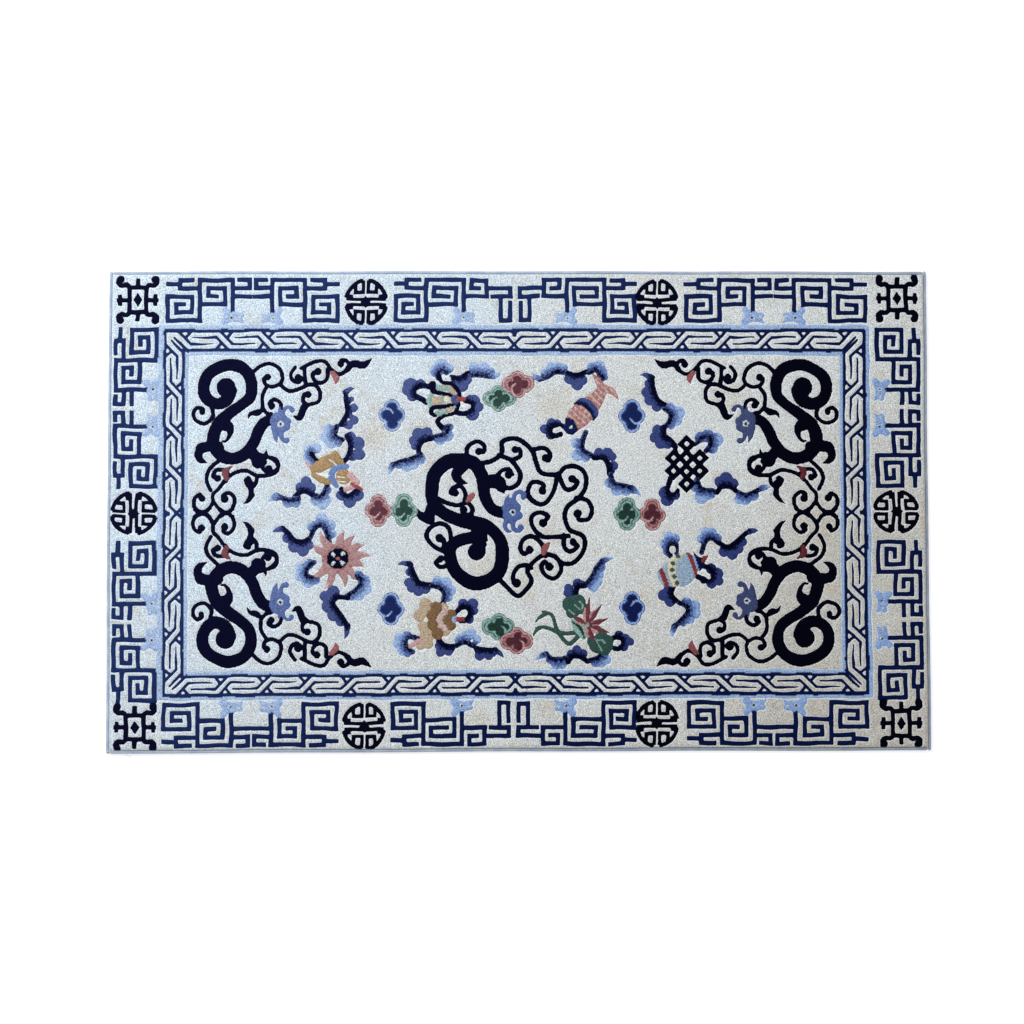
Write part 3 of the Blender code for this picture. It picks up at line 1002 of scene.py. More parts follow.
def work_knot(weave):
    work_ribbon(weave, "knot")
    work_slots(
        weave,
        (((327, 113), (349, 126)), 11),
        (((304, 64), (289, 42)), 12),
        (((300, 118), (303, 113)), 5),
        (((330, 66), (326, 60)), 5),
    )
    knots = ((316.5, 127), (291.5, 101.5), (316.5, 101.5), (341.5, 101.5), (291.5, 76.5), (316.5, 76.5),
             (341.5, 76.5), (316.5, 52))
    lattice = Figure(weave)
    for x, y in knots:
        lattice.polygon(diamond(x, y, LATTICE_SQUARE, LATTICE_SQUARE))
    lattice.dye("navy")
    for x, y in (*knots, (304, 89), (329, 89)):
        Figure(weave).polygon(diamond(x, y, LATTICE_HOLE, LATTICE_HOLE)).clear()


# Where a flame starts and bends on its way to its tip, and how far it bends aside, as shares
FLAME_START = 0.42
FLAME_BEND_AT = 0.72
FLAME_BEND = 0.07
FLAME_WIDTHS = (17, 13, 1.5)


def work_wheel(weave):
    work_ribbon(weave, "wheel")
    work_slots(weave, (((-389, -111), (-384, -114)), 10))
    x, y = -341, -87
    flames = Figure(weave).disc(x, y, 29)
    tips = ((-373, -36), (-329, -35), (-309, -44), (-290, -61), (-277, -83), (-290, -103), (-308, -125),
            (-327, -139), (-366, -143), (-387, -120), (-388, -60))
    for tip_x, tip_y in tips:
        run_x, run_y = tip_x - x, tip_y - y
        near = (x + FLAME_START * run_x, y + FLAME_START * run_y)
        bend_x = x + FLAME_BEND_AT * run_x - FLAME_BEND * run_y
        bend_y = y + FLAME_BEND_AT * run_y + FLAME_BEND * run_x
        flames.stroke((near, (bend_x, bend_y), (tip_x, tip_y)), FLAME_WIDTHS)
    flames.shade(((x, y), (x + 1, y)), 75, ("rose", "flame", "flame", "fish_pale"), soft=0.35)
    Figure(weave).disc(x, y, 20).dye("navy")
    for turn in (45, 135, 225, 315):
        petal = Figure(weave, Place(x, y, turn))
        petal.stroke(((9.5, 0), (13, 0)), (5, 7)).dye("ivory")
    Figure(weave).disc(x, y, 4).dye("rose")


def work_conch(weave):
    work_ribbon(weave, "conch")
    work_slots(weave, (((-113, -193), (-103, -188)), 9), (((-205, -243), (-201, -244)), 9))
    for yarn, lobes in (
        ("tan", ((-176, -174, 12.6), (-188, -194, 11.5), (-178, -184, 12), (-181, -216, 11),
                 (-175, -233, 13.5), (-173, -247, 10), (-186, -251, 8), (-143, -180, 10), (-138, -224, 9))),
        ("fish_pale", ((-152, -191, 9), (-153, -211, 9), (-141, -184, 8), (-138, -217, 8), (-146, -202, 8))),
        ("gold_dark", ((-156, -180, 11.5), (-164, -193, 10.4), (-163, -211, 10.4), (-154, -228, 11.5))),
        ("gold_dark", ((-128, -191, 8.4), (-134, -203, 10.4), (-128, -215, 8.4))),
    ):
        Figure(weave).discs(lobes).dye(yarn)
    Figure(weave).disc(-122, -202, 6.2).dye("blue_pale")
    Figure(weave).stroke(((-117, -202), (-106, -202)), 8).dye("red")
    Figure(weave).stroke(((-206, -253), (-190, -243)), (6, 11)).dye("rose_pale")


def work_lotus(weave):
    work_ribbon(weave, "lotus")
    work_slots(weave, (((179, -247), (185, -246)), 11))
    stems = Figure(weave)
    stems.stroke(((110, -234), (95, -247), (83, -242), (71, -223), (62, -196), (51, -189), (41, -187)),
                 (9, 8, 8, 8, 7, 7, 2))
    stems.stroke(((52, -190), (36, -199), (30, -207)), (7, 7, 2))
    stems.stroke(((76, -231), (59, -221), (42, -216), (31, -218)), (8, 7, 7, 3))
    stems.stroke(((41, -217), (32, -223), (27, -232)), (6, 6, 3))
    stems.stroke(((106, -226), (89, -229), (76, -227)), 7.5)
    stems.dye("leaf")
    for lobes in (
        ((95, -174, 14), (110, -168, 13.5), (103, -182, 15), (115, -180, 12.6), (98, -189, 10)),
        ((154, -239, 14), (163, -243, 13), (145, -251, 14), (159, -258, 12), (167, -253, 8), (137, -243, 10)),
    ):
        Figure(weave).discs(lobes).dye("leaf")
    veins = Figure(weave)
    for vein in (((103, -175), (116, -184), (118, -174), (112, -168)), ((93, -184), (103, -193)),
                 ((142, -238), (154, -260)), ((145, -241), (157, -241), (159, -247))):
        veins.stroke(vein, 2.4)
    veins.dye("green_pale", carved=False)
    calyx = Figure(weave)
    calyx.polygon(((97, -200), (110, -205), (124, -218), (127, -234), (120, -241), (110, -232), (101, -221)))
    calyx.dye("green_pale")
    Figure(weave).stroke(((100, -207), (113, -218), (122, -238)), (3, 6, 2)).dye("green")
    x, y = 127, -213
    for yarn, width, tips in (
        ("rose_pale", 12, ((122, -178), (140, -184), (156, -207), (146, -229), (128, -238), (108, -206))),
        ("petal", 9, ((131, -159), (156, -174), (168, -201), (169, -226), (139, -245), (99, -195))),
    ):
        for tip_x, tip_y in tips:
            middle = ((x + tip_x) / 2, (y + tip_y) / 2)
            Figure(weave).stroke(((x, y), middle, (tip_x, tip_y)), (3, width, 1)).dye(yarn)
    Figure(weave).disc(x, y, 3.6).dye("teal")


def work_jar(weave):
    work_ribbon(weave, "jar")
    work_slots(weave, (((289, -70), (290, -72)), 12), (((334, -115), (348, -116), (357, -124)), 8))
    body = Figure(weave)
    body.polygon(((289, -86), (304, -78), (318, -77), (330, -84), (337, -98), (335, -120), (325, -134),
                  (312, -141), (290, -143), (271, -142), (262, -128), (260, -114), (271, -103)))
    body.dye("jar_blue")
    for points, width, yarn in (
        (((266, -106), (279, -144)), 8, "red"),
        (((306, -76), (290, -94), (287, -115), (297, -143)), 14, "cream"),
        (((318, -76), (327, -96), (335, -121)), 8.5, "red"),
    ):
        Figure(weave).stroke(points, width).keep(body).dye(yarn)
    for x, y in ((300, -84), (290, -97), (287.5, -110), (291, -123), (297, -135)):
        Figure(weave).disc(x, y, 4.3).dye("green_mid", carved=False)
    Figure(weave).stroke(((331, -88), (337, -106)), 7).dye("blue_pale")
    cap = Figure(weave)
    cap.polygon(((327, -74), (336, -83), (348, -88), (349, -103), (339, -113), (335, -95)))
    cap.dye("blue_deep")
    Figure(weave).polygon(((342, -95), (347, -83), (358, -82), (350, -96))).dye("red")


def work_gourd(weave):
    work_ribbon(weave, "gourd")
    Figure(weave).stroke(((-392, 112), (-377, 92)), 7).dye("navy")
    work_slots(weave, (((-381, 108), (-378, 104)), 7))
    Figure(weave).stroke(((-399, 92), (-386, 77)), (6, 9)).dye("rose_pale")
    for points, widths in (
        (((-384, 80), (-367, 92), (-350, 101)), (18, 26, 22)),
        (((-347, 108), (-337, 91)), (16, 15)),
        (((-388, 70), (-372, 61), (-355, 57)), (8, 13, 9)),
    ):
        Figure(weave).stroke(points, widths).dye("gold")
    Figure(weave).disc(-330, 67, 14).dye("gold")
    Figure(weave).stroke(((-324, 86), (-346, 82), (-353, 67), (-344, 50)), (8, 11, 12, 9)).dye("blue_light")
    for points in (
        ((-382, 74), (-357, 69)),
        ((-359, 100), (-344, 88)),
        ((-342, 67), (-327, 66)),
        ((-340, 59), (-326, 58)),
    ):
        Figure(weave).stroke(points, 3.2).clear()
    Figure(weave).stroke(((-318, 71), (-304, 57)), (12, 10)).dye("rose_pale")
    Figure(weave).stroke(((-327, 43), (-312, 50)), (8, 9)).dye("rose_pale")
    Figure(weave).stroke(((-314, 54), (-297, 43)), (7, 5)).dye("red")


# Small four-lobed clouds: the yarns of the rim, of the line in it, of the band and of the clover
QUATREFOIL_YARNS = {
    "blue": ("blue_pale", "line_pale", "cloud_blue", "cloud_blue"),
    "rose": ("rose_pale", "rose_deep", "rose_mid", "maroon"),
    "green": ("green_pale", "green_mid", "green_pale", "green"),
}
QUATREFOIL_LOBES = ((0, 15.5, 15.5), (0, -15.5, 16), (-10.5, 0, 14.8), (10.5, 1, 14.8), (0, 0, 21.5))
CLOVER_LOBES = ((0, 13, 7), (-8.5, 2, 8.6), (8.5, 1, 8.2), (0, -12.5, 8.2), (0, 0, 10))
# How deep inside the outline the rim, the line and the band begin, and the carved line lies
QUATREFOIL_STARTS = (1.0, 4.6, 6.6)
QUATREFOIL_CARVED = 5.0
QUATREFOILS = (  # middle x and y, turn, colour, mirroring
    (-239.7, 182, 0, "blue", 1),
    (213.2, 180, 180, "blue", 1),
    (-241.5, -182, 0, "blue", -1),
    (212.3, -181, 180, "blue", -1),
    (-37.7, 214, 90, "green", 1),
    (-2, 240.6, 90, "rose", 1),
    (-265, 3, 0, "rose", -1),
    (-217, 3, 0, "green", -1),
    (251, -5.6, 0, "rose", -1),
    (203, -4.7, 0, "green", -1),
    (-39.6, -216, 90, "green", -1),
    (-5.6, -242.5, 90, "rose", -1),
)


def work_quatrefoil(weave, x, y, turn, colour, flip):
    """A small four-lobed cloud with a pale rim, a dark clover and a pale curl from one notch."""
    place = Place(x, y, turn, 1, flip)
    cloud = Figure(weave, place).discs(QUATREFOIL_LOBES)
    rim, line, band, middle = QUATREFOIL_YARNS[colour]
    cloud.dye(line)
    area = cloud.area()
    depth = cloud.depth[area] + (weave.dither[area] - 0.5)
    for least, yarn in zip(QUATREFOIL_STARTS, (rim, line, band)):
        weave.yarn[area][depth > least] = YARNS[yarn]
    ring = cloud.depth[area] - QUATREFOIL_CARVED
    weave.side[area] = np.where(np.abs(ring) < np.abs(weave.side[area]), ring, weave.side[area])
    Figure(weave, place).discs(CLOVER_LOBES).dye(middle, carved=False)
    curl = Figure(weave, place)
    curl.stroke(((-17, 10), (-10, 13), (-3, 11), (2, 4)), (3.4, 3.8, 3.4, 1.8))
    curl.dye(rim, carved=False)


EMBLEMS = (work_canopy, work_fish, work_knot, work_wheel, work_conch, work_lotus, work_jar, work_gourd)


def work_rug(half_length, half_width, seed):
    """The whole pattern, worked from the border inwards."""
    weave = Weave(half_length, half_width, seed)
    work_stripes(weave)
    work_lace(weave)
    work_frets(weave)
    work_ornaments(weave)
    for flip_x in (1, -1):
        for flip_y in (1, -1):
            work_corner_dragon(weave, flip_x, flip_y)
    work_centre_dragon(weave)
    for quatrefoil in QUATREFOILS:
        work_quatrefoil(weave, *quatrefoil)
    for work in EMBLEMS:
        work(weave)
    return weave


# The rug's build, in metres
SIZE_X = LENGTH * MM
SIZE_Y = WIDTH * MM
PILE_TOP = 0.0115
FOUNDATION_TOP = 0.0030
PILE_ROOT = 0.0027
BINDING_WIDTH = 0.0066
BINDING_HEIGHT = 0.0075
JOIN_GAP = 0.0003
SHOULDER_RUN = 0.009
SHOULDER_DROP = 0.0035
CARVED_DEPTH = 0.0014
CARVED_HALF_WIDTH = 0.0026
CARVED_SLOPE = 1.3
TUFT_RISE = 0.00016
GRAIN_RISE = 0.00022
GRAIN_STREAK = 3
GRAIN_MARGIN = 6
PILE_INSET = BINDING_WIDTH + JOIN_GAP
PANELS = 4
SEED = 5

EDGE_WAVES = {  # depth, wavelength, start
    "left": ((0.0016, 1.30, 0.10), (0.0006, 0.37, 0.30)),
    "right": ((0.0014, 1.10, 0.42), (0.0007, 0.31, 0.05)),
    "top": ((-0.0016, 3.00, 0.50), (0.0006, 0.34, 0.60)),
    "bottom": ((0.0014, 2.10, 0.45), (-0.0008, 0.41, 0.15)),
}
RIPPLES = (  # middle x, middle y, rise, half width, half run, turn in degrees
    (-0.468, 0.385, -0.0012, 0.022, 0.100, 4),
    (-0.425, 0.390, 0.0010, 0.024, 0.110, 4),
    (-0.160, 0.395, -0.0010, 0.020, 0.090, -3),
    (-0.118, 0.390, 0.0008, 0.026, 0.100, -3),
    (0.205, 0.385, 0.0007, 0.028, 0.120, 5),
    (0.520, 0.375, 0.0009, 0.026, 0.120, -6),
    (-0.640, 0.060, 0.0008, 0.110, 0.022, 3),
    (0.655, -0.120, 0.0009, 0.100, 0.026, -4),
    (0.480, -0.385, 0.0010, 0.028, 0.100, 6),
    (0.240, -0.395, -0.0009, 0.022, 0.090, 2),
    (-0.300, -0.385, 0.0008, 0.030, 0.110, -5),
    (0.060, 0.030, 0.0007, 0.300, 0.070, 12),
)


def edge_pull(side, along):
    """How far a side is drawn in from its straight line at a place along it."""
    return sum(d * np.sin(np.pi * (along / w + s)) ** 2 for d, w, s in EDGE_WAVES[side])


def uneven(x, y):
    """Where a point of the evenly woven rug lies on the real one."""
    right_share = 0.5 + x / SIZE_X
    top_share = 0.5 + y / SIZE_Y
    shift_x = edge_pull("left", y) * (1 - right_share) - edge_pull("right", y) * right_share
    shift_y = edge_pull("bottom", x) * (1 - top_share) - edge_pull("top", x) * top_share
    return x + shift_x, y + shift_y


def ripple_rise(x, y):
    total = 0.0
    for middle_x, middle_y, rise, half_width, half_run, degrees in RIPPLES:
        turn = math.radians(degrees)
        across = (x - middle_x) * math.cos(turn) + (y - middle_y) * math.sin(turn)
        along = (y - middle_y) * math.cos(turn) - (x - middle_x) * math.sin(turn)
        total = total + rise * np.exp(-((across / half_width) ** 2) - (along / half_run) ** 2)
    return total


def shoulder_drop(x, y):
    """How far the clipped pile rounds down towards its outer edge."""
    inside_x = SIZE_X / 2 - PILE_INSET - np.abs(x)
    inside_y = SIZE_Y / 2 - PILE_INSET - np.abs(y)
    share = np.clip(np.minimum(inside_x, inside_y) / SHOULDER_RUN, 0, 1)
    return SHOULDER_DROP * (1 - np.sqrt(1 - (1 - share) ** 2))


def grain(shape, random):
    """Slanting streaks in the lie of the pile, between about -2 and 2."""
    rows, columns = shape
    noise = random.standard_normal((rows + 2 * GRAIN_MARGIN, columns + 2 * GRAIN_MARGIN))
    steps = range(-GRAIN_STREAK, GRAIN_STREAK + 1)
    starts = [(GRAIN_MARGIN + step, GRAIN_MARGIN - step) for step in steps]
    total = sum(noise[row : row + rows, column : column + columns] for row, column in starts)
    return total / math.sqrt(len(starts))


# Snapping knots to a carved line: how far off they may lie and how far they move, both in
# millimetres, and how steeply the distance from the line may change there
SNAP_REACH = 0.62 * KNOT
SNAP_MOST = 0.45 * KNOT
STEEP_LEAST = 0.25
STEEP_LOW = 0.4
STEEP_HIGH = 1.8


def snapped(weave, x, y):
    """Moves the knots nearest to a carved line onto it. Also says which ones lie on a line."""
    step_y, step_x = weave.y[1] - weave.y[0], weave.x[1] - weave.x[0]
    slope_y, slope_x = np.gradient(weave.side, step_y, step_x)
    steep = slope_x**2 + slope_y**2
    move = -weave.side / np.maximum(steep, STEEP_LEAST)
    shift_x, shift_y = move * slope_x, move * slope_y
    near = (np.hypot(shift_x, shift_y) < SNAP_REACH) & (steep > STEEP_LOW) & (steep < STEEP_HIGH)
    near[[0, -1], :] = False
    near[:, [0, -1]] = False
    shift_x = np.clip(shift_x, -SNAP_MOST, SNAP_MOST)
    shift_y = np.clip(shift_y, -SNAP_MOST, SNAP_MOST)
    return x + np.where(near, shift_x, 0) * MM, y + np.where(near, shift_y, 0) * MM, near


def pile_surface(weave):
    """The clipped, carved top of the pile: a point for each knot, and which lie on carved lines."""
    x, y = np.meshgrid(weave.x * MM, weave.y * MM)
    x, y, on_line = snapped(weave, x, y)
    away = np.where(on_line, 0, np.abs(weave.side)) * MM
    carved = CARVED_DEPTH * np.clip(1 - away / CARVED_HALF_WIDTH, 0, 1) ** CARVED_SLOPE
    z = PILE_TOP + ripple_rise(x, y) - shoulder_drop(x, y) - carved
    z += GRAIN_RISE * grain(z.shape, weave.random)
    z += TUFT_RISE * weave.random.standard_normal(z.shape)
    x, y = uneven(x, y)
    return np.stack((x, y, z), axis=-1), on_line


def surface_triangles(points, on_line):
    """Two triangles for each square of knots, split along a carved line where one crosses it."""
    rows, columns = on_line.shape
    index = np.arange(rows * columns).reshape(rows, columns)
    a, b = index[:-1, :-1], index[:-1, 1:]
    d, c = index[1:, :-1], index[1:, 1:]
    line_ac = on_line[:-1, :-1] & on_line[1:, 1:]
    line_bd = on_line[:-1, 1:] & on_line[1:, :-1]
    rising = (a // columns + a % columns) % 2 == 0
    split_ac = np.where(line_ac == line_bd, rising, line_ac)
    first = np.where(split_ac[..., None], np.stack((a, b, c), -1), np.stack((a, b, d), -1))
    second = np.where(split_ac[..., None], np.stack((a, c, d), -1), np.stack((b, c, d), -1))
    return np.stack((first, second), axis=2)


def point_normals(points, triangles):
    flat, faces = points.reshape(-1, 3), triangles.reshape(-1, 3)
    across = np.cross(flat[faces[:, 1]] - flat[faces[:, 0]], flat[faces[:, 2]] - flat[faces[:, 0]])
    total = np.zeros_like(flat)
    for corner in range(3):
        for axis in range(3):
            total[:, axis] += np.bincount(faces[:, corner], across[:, axis], len(flat))
    return total / np.linalg.norm(total, axis=1, keepdims=True)


def ring_of(rows, columns):
    """The points round the rim of a grid, anticlockwise from above, as row and column."""
    bottom = [(0, c) for c in range(columns)]
    right = [(r, columns - 1) for r in range(1, rows)]
    top = [(rows - 1, c) for c in range(columns - 2, -1, -1)]
    left = [(r, 0) for r in range(rows - 2, 0, -1)]
    return bottom + right + top + left


def to_linear(colour):
    colour = np.asarray(colour, float)
    return np.where(colour <= 0.04045, colour / 12.92, ((colour + 0.055) / 1.055) ** 2.4)


def make_mesh(name, points, triangles, rest=()):
    """A mesh of triangles and, after them, faces of other sizes."""
    mesh = bpy.data.meshes.new(name)
    triangles = np.asarray(triangles, np.int32)
    sizes = [3] * len(triangles) + [len(face) for face in rest]
    corners = np.concatenate([triangles.ravel(), *(np.asarray(face, np.int32) for face in rest)])
    mesh.vertices.add(len(points))
    mesh.vertices.foreach_set("co", np.asarray(points, np.float32).ravel())
    mesh.loops.add(len(corners))
    mesh.loops.foreach_set("vertex_index", corners)
    mesh.polygons.add(len(sizes))
    starts = np.concatenate(([0], np.cumsum(sizes)[:-1]))
    mesh.polygons.foreach_set("loop_start", starts.astype(np.int32))
    mesh.polygons.foreach_set("loop_total", np.array(sizes, np.int32))
    mesh.update(calc_edges=True)
    piece = bpy.data.objects.new(name, mesh)
    bpy.context.scene.collection.objects.link(piece)
    return piece


# How far from any figure and carved line the points of a piece's walls count as lying
WALL_AWAY = 9.0


def store_pattern(mesh, edge, side, yarn, wall_points):
    """Keeps the chart on the mesh: distances in millimetres, and each knot's yarn. The last
    points, those of the walls, are bare ground."""
    for name, values, at_wall in (("edge", edge, -WALL_AWAY), ("carved", np.abs(side), WALL_AWAY)):
        values = np.pad(values.ravel(), [(0, wall_points)], constant_values=at_wall)
        layer = mesh.attributes.new(name, "FLOAT", "POINT")
        layer.data.foreach_set("value", values.astype(np.float32))
    colours = np.ones((len(mesh.vertices), 4), np.float32)
    colours[:, :3] = to_linear(YARNS["ivory"])
    colours[: len(colours) - wall_points, :3] = to_linear(yarn.reshape(-1, 3))
    layer = mesh.attributes.new("yarn", "FLOAT_COLOR", "POINT")
    layer.data.foreach_set("color", colours.ravel())


# The free rim of a flat map, as a share of it
PLAN_MARGIN = 0.005


def store_plan(mesh):
    """A flat map of the piece seen from above."""
    spots = np.empty(len(mesh.vertices) * 3, np.float32)
    mesh.vertices.foreach_get("co", spots)
    spots = spots.reshape(-1, 3)[:, :2]
    low, high = spots.min(axis=0), spots.max(axis=0)
    plan = PLAN_MARGIN + (1 - 2 * PLAN_MARGIN) * (spots - low) / (high - low)
    corners = np.empty(len(mesh.loops), np.int32)
    mesh.loops.foreach_get("vertex_index", corners)
    layer = mesh.uv_layers.new(name="OFBake")
    layer.data.foreach_set("uv", plan[corners].astype(np.float32).ravel())


def walls_between(low, high):
    """The faces between two rings of points, one above the other."""
    low_after, high_after = np.roll(low, -1), np.roll(high, -1)
    first = np.stack((low, low_after, high_after), -1)
    return np.concatenate((first, np.stack((low, high_after, high), -1)))


def make_pile(weave):
    """The pile as panels side by side, each closed down to the foundation."""
    surface, on_line = pile_surface(weave)
    triangles = surface_triangles(surface, on_line)
    normals = point_normals(surface, triangles).reshape(surface.shape)
    rows, columns = on_line.shape
    cuts = np.linspace(0, columns - 1, PANELS + 1).round().astype(int)
    pieces = []
    for number, (first, last) in enumerate(zip(cuts, cuts[1:])):
        wide = last - first + 1
        part = slice(first, last + 1)
        top = surface[:, part].reshape(-1, 3)
        faces = triangles[:, first:last].reshape(-1, 3)
        faces = faces // columns * wide + faces % columns - first
        ring = np.array([r * wide + c for r, c in ring_of(rows, wide)])
        low = top[ring].copy()
        low[:, 2] = PILE_ROOT
        under = len(top) + np.arange(len(ring))
        points = np.concatenate((top, low))
        triangles_here = np.concatenate((faces, walls_between(under, ring)))
        piece = make_mesh(f"pile_panel_{number + 1}", points, triangles_here, [under[::-1]])
        edge, side, yarn = weave.edge[:, part], weave.side[:, part], weave.yarn[:, part]
        store_pattern(piece.data, edge, side, yarn, len(ring))
        store_plan(piece.data)
        smooth_top(piece.data, normals[:, part].reshape(-1, 3), len(faces))
        pieces.append(piece)
    return pieces


def smooth_top(mesh, normals, top_faces):
    """Shades the top as one surface across its panels, and leaves the sides flat."""
    mesh.polygons.foreach_set("use_smooth", np.ones(len(mesh.polygons), bool))
    corners = np.empty(len(mesh.loops), np.int32)
    mesh.loops.foreach_get("vertex_index", corners)
    flat = np.empty(len(mesh.polygons) * 3, np.float32)
    mesh.polygons.foreach_get("normal", flat)
    sizes = np.empty(len(mesh.polygons), np.int32)
    mesh.polygons.foreach_get("loop_total", sizes)
    chosen = np.repeat(flat.reshape(-1, 3), sizes, axis=0)
    chosen[: top_faces * 3] = normals[corners[: top_faces * 3]]
    mesh.normals_split_custom_set(chosen.tolist())


def make_foundation(weave):
    """The woven ground that holds the knots, with the pattern showing flat on its back."""
    edge, side, yarn = weave.edge[::2, ::2], weave.side[::2, ::2], weave.yarn[::2, ::2]
    x, y = np.meshgrid(weave.x[::2] * MM, weave.y[::2] * MM)
    x, y = uneven(x, y)
    points = np.stack((x, y, np.zeros_like(x)), axis=-1)
    rows, columns = x.shape
    triangles = surface_triangles(points, np.zeros((rows, columns), bool)).reshape(-1, 3)[:, ::-1]
    ring = np.array([r * columns + c for r, c in ring_of(rows, columns)])
    points = points.reshape(-1, 3)
    top = points[ring].copy()
    top[:, 2] = FOUNDATION_TOP
    over = len(points) + np.arange(len(ring))
    triangles = np.concatenate((triangles, walls_between(ring, over)))
    piece = make_mesh("foundation", np.concatenate((points, top)), triangles, [over])
    store_pattern(piece.data, edge, side, yarn, len(ring))
    store_plan(piece.data)
    return piece


# The overcast binding, in metres: its stitches, and its rounded ends. Then how each stitch leans,
# in stitches, and how its ridge is shaped, as shares.
STITCH_PITCH = 0.0042
STITCH_RELIEF = 0.0005
STATIONS_PER_STITCH = 4
SECTION_SIDES = 8
END_ROUNDING = 0.004
END_LEAST = 0.12
END_DROP = 0.04
LEAN_PER_TURN = 1.2
LEAN_WOBBLE = 0.06
RIDGE_SHARPNESS = 0.7
RIDGE_MIDDLE = 0.75
RIDGE_INSET = 0.25


def make_binding(name, start, end, outward, random):
    """One side's binding: yarn whipped over the selvedge, each stitch leaning on the next."""
    start, end, outward = np.array(start), np.array(end), np.array(outward)
    run = np.linalg.norm(end - start)
    stitches = round(run / STITCH_PITCH)
    stations = stitches * STATIONS_PER_STITCH + 1
    share = np.linspace(0, 1, stations)
    turns = np.arange(SECTION_SIDES) / SECTION_SIDES
    angle = 2 * np.pi * turns[None, :] - np.pi / 2
    wobble = np.repeat(random.normal(0, LEAN_WOBBLE, stitches + 1), STATIONS_PER_STITCH)[:stations]
    lean = share[:, None] * stitches + turns[None, :] * LEAN_PER_TURN + wobble[:, None]
    ridge = STITCH_RELIEF * (np.abs(np.sin(np.pi * lean)) ** RIDGE_SHARPNESS - RIDGE_MIDDLE)
    ends = np.minimum(share, 1 - share) * run
    closing = np.sqrt(np.clip(1 - (1 - np.clip(ends / END_ROUNDING, 0, 1)) ** 2, END_LEAST, 1))
    half_width = BINDING_WIDTH / 2 - STITCH_RELIEF * RIDGE_INSET
    half_height = BINDING_HEIGHT / 2 - STITCH_RELIEF * RIDGE_INSET
    across = (half_width + ridge) * np.cos(angle) * closing[:, None]
    rise = half_height + (half_height + ridge) * np.sin(angle) * closing[:, None]
    rise = np.maximum(rise * (1 - END_DROP + END_DROP * closing[:, None]), 0.0)
    middle = start[None, :] + (end - start)[None, :] * share[:, None]
    flat_x = middle[:, None, 0] + outward[0] * (across - BINDING_WIDTH / 2)
    flat_y = middle[:, None, 1] + outward[1] * (across - BINDING_WIDTH / 2)
    x, y = uneven(flat_x, flat_y)
    points = np.stack((x, y, rise), axis=-1).reshape(-1, 3)
    index = np.arange(stations * SECTION_SIDES).reshape(stations, SECTION_SIDES)
    a, b = index[:-1], np.roll(index[:-1], -1, axis=1)
    c, d = np.roll(index[1:], -1, axis=1), index[1:]
    faces = np.stack((np.stack((a, b, c), -1), np.stack((a, c, d), -1)), axis=2).reshape(-1, 3)
    along = end - start
    if along[0] * outward[1] - along[1] * outward[0] > 0:
        faces, first, last = faces[:, ::-1], index[0], index[-1][::-1]
    else:
        first, last = index[0][::-1], index[-1]
    piece = make_mesh(name, points, faces, [first, last])
    piece.data.polygons.foreach_set("use_smooth", np.ones(len(piece.data.polygons), bool))
    return piece


def make_bindings(random):
    """Each binding by the name of its node, with where it starts and ends and which way is out."""
    x, y = SIZE_X / 2, SIZE_Y / 2
    inner = x - BINDING_WIDTH - JOIN_GAP
    runs = {
        "binding_left": ((-x, -y), (-x, y), (-1, 0)),
        "binding_right": ((x, -y), (x, y), (1, 0)),
        "binding_top": ((-inner, y), (inner, y), (0, 1)),
        "binding_bottom": ((-inner, -y), (inner, -y), (0, -1)),
    }
    return {node: make_binding(f"{node}_yarn", *run, random) for node, run in runs.items()}


# Loose ends of yarn at the lower left corner: points along each, in metres
LOOSE_ENDS = (
    ((-0.768, -0.4475, 0.0070), (-0.772, -0.4500, 0.0085), (-0.778, -0.4520, 0.0072),
     (-0.7830, -0.4555, 0.0012)),
    ((-0.757, -0.4440, 0.0115), (-0.762, -0.4475, 0.0126), (-0.770, -0.4465, 0.0118),
     (-0.7762, -0.4415, 0.0086)),
    ((-0.7725, -0.4180, 0.0070), (-0.7765, -0.4230, 0.0074), (-0.7800, -0.4290, 0.0040),
     (-0.7815, -0.4360, 0.0008)),
    ((-0.742, -0.4505, 0.0070), (-0.7395, -0.4545, 0.0060), (-0.7330, -0.4575, 0.0014),
     (-0.7260, -0.4580, 0.0008)),
)
LOOSE_END_RADIUS = 0.00045


def make_loose_ends():
    curve = bpy.data.curves.new("loose_ends", "CURVE")
    curve.dimensions = "3D"
    curve.bevel_depth = LOOSE_END_RADIUS
    curve.bevel_resolution = 1
    curve.use_fill_caps = True
    for points in LOOSE_ENDS:
        line, _ = smooth([Vector(point) for point in points], per_span=8)
        spline = curve.splines.new("POLY")
        spline.points.add(len(line) - 1)
        for spot, place in zip(spline.points, line):
            spot.co = (*place, 1)
    piece = bpy.data.objects.new("loose_ends", curve)
    bpy.context.scene.collection.objects.link(piece)
    return piece


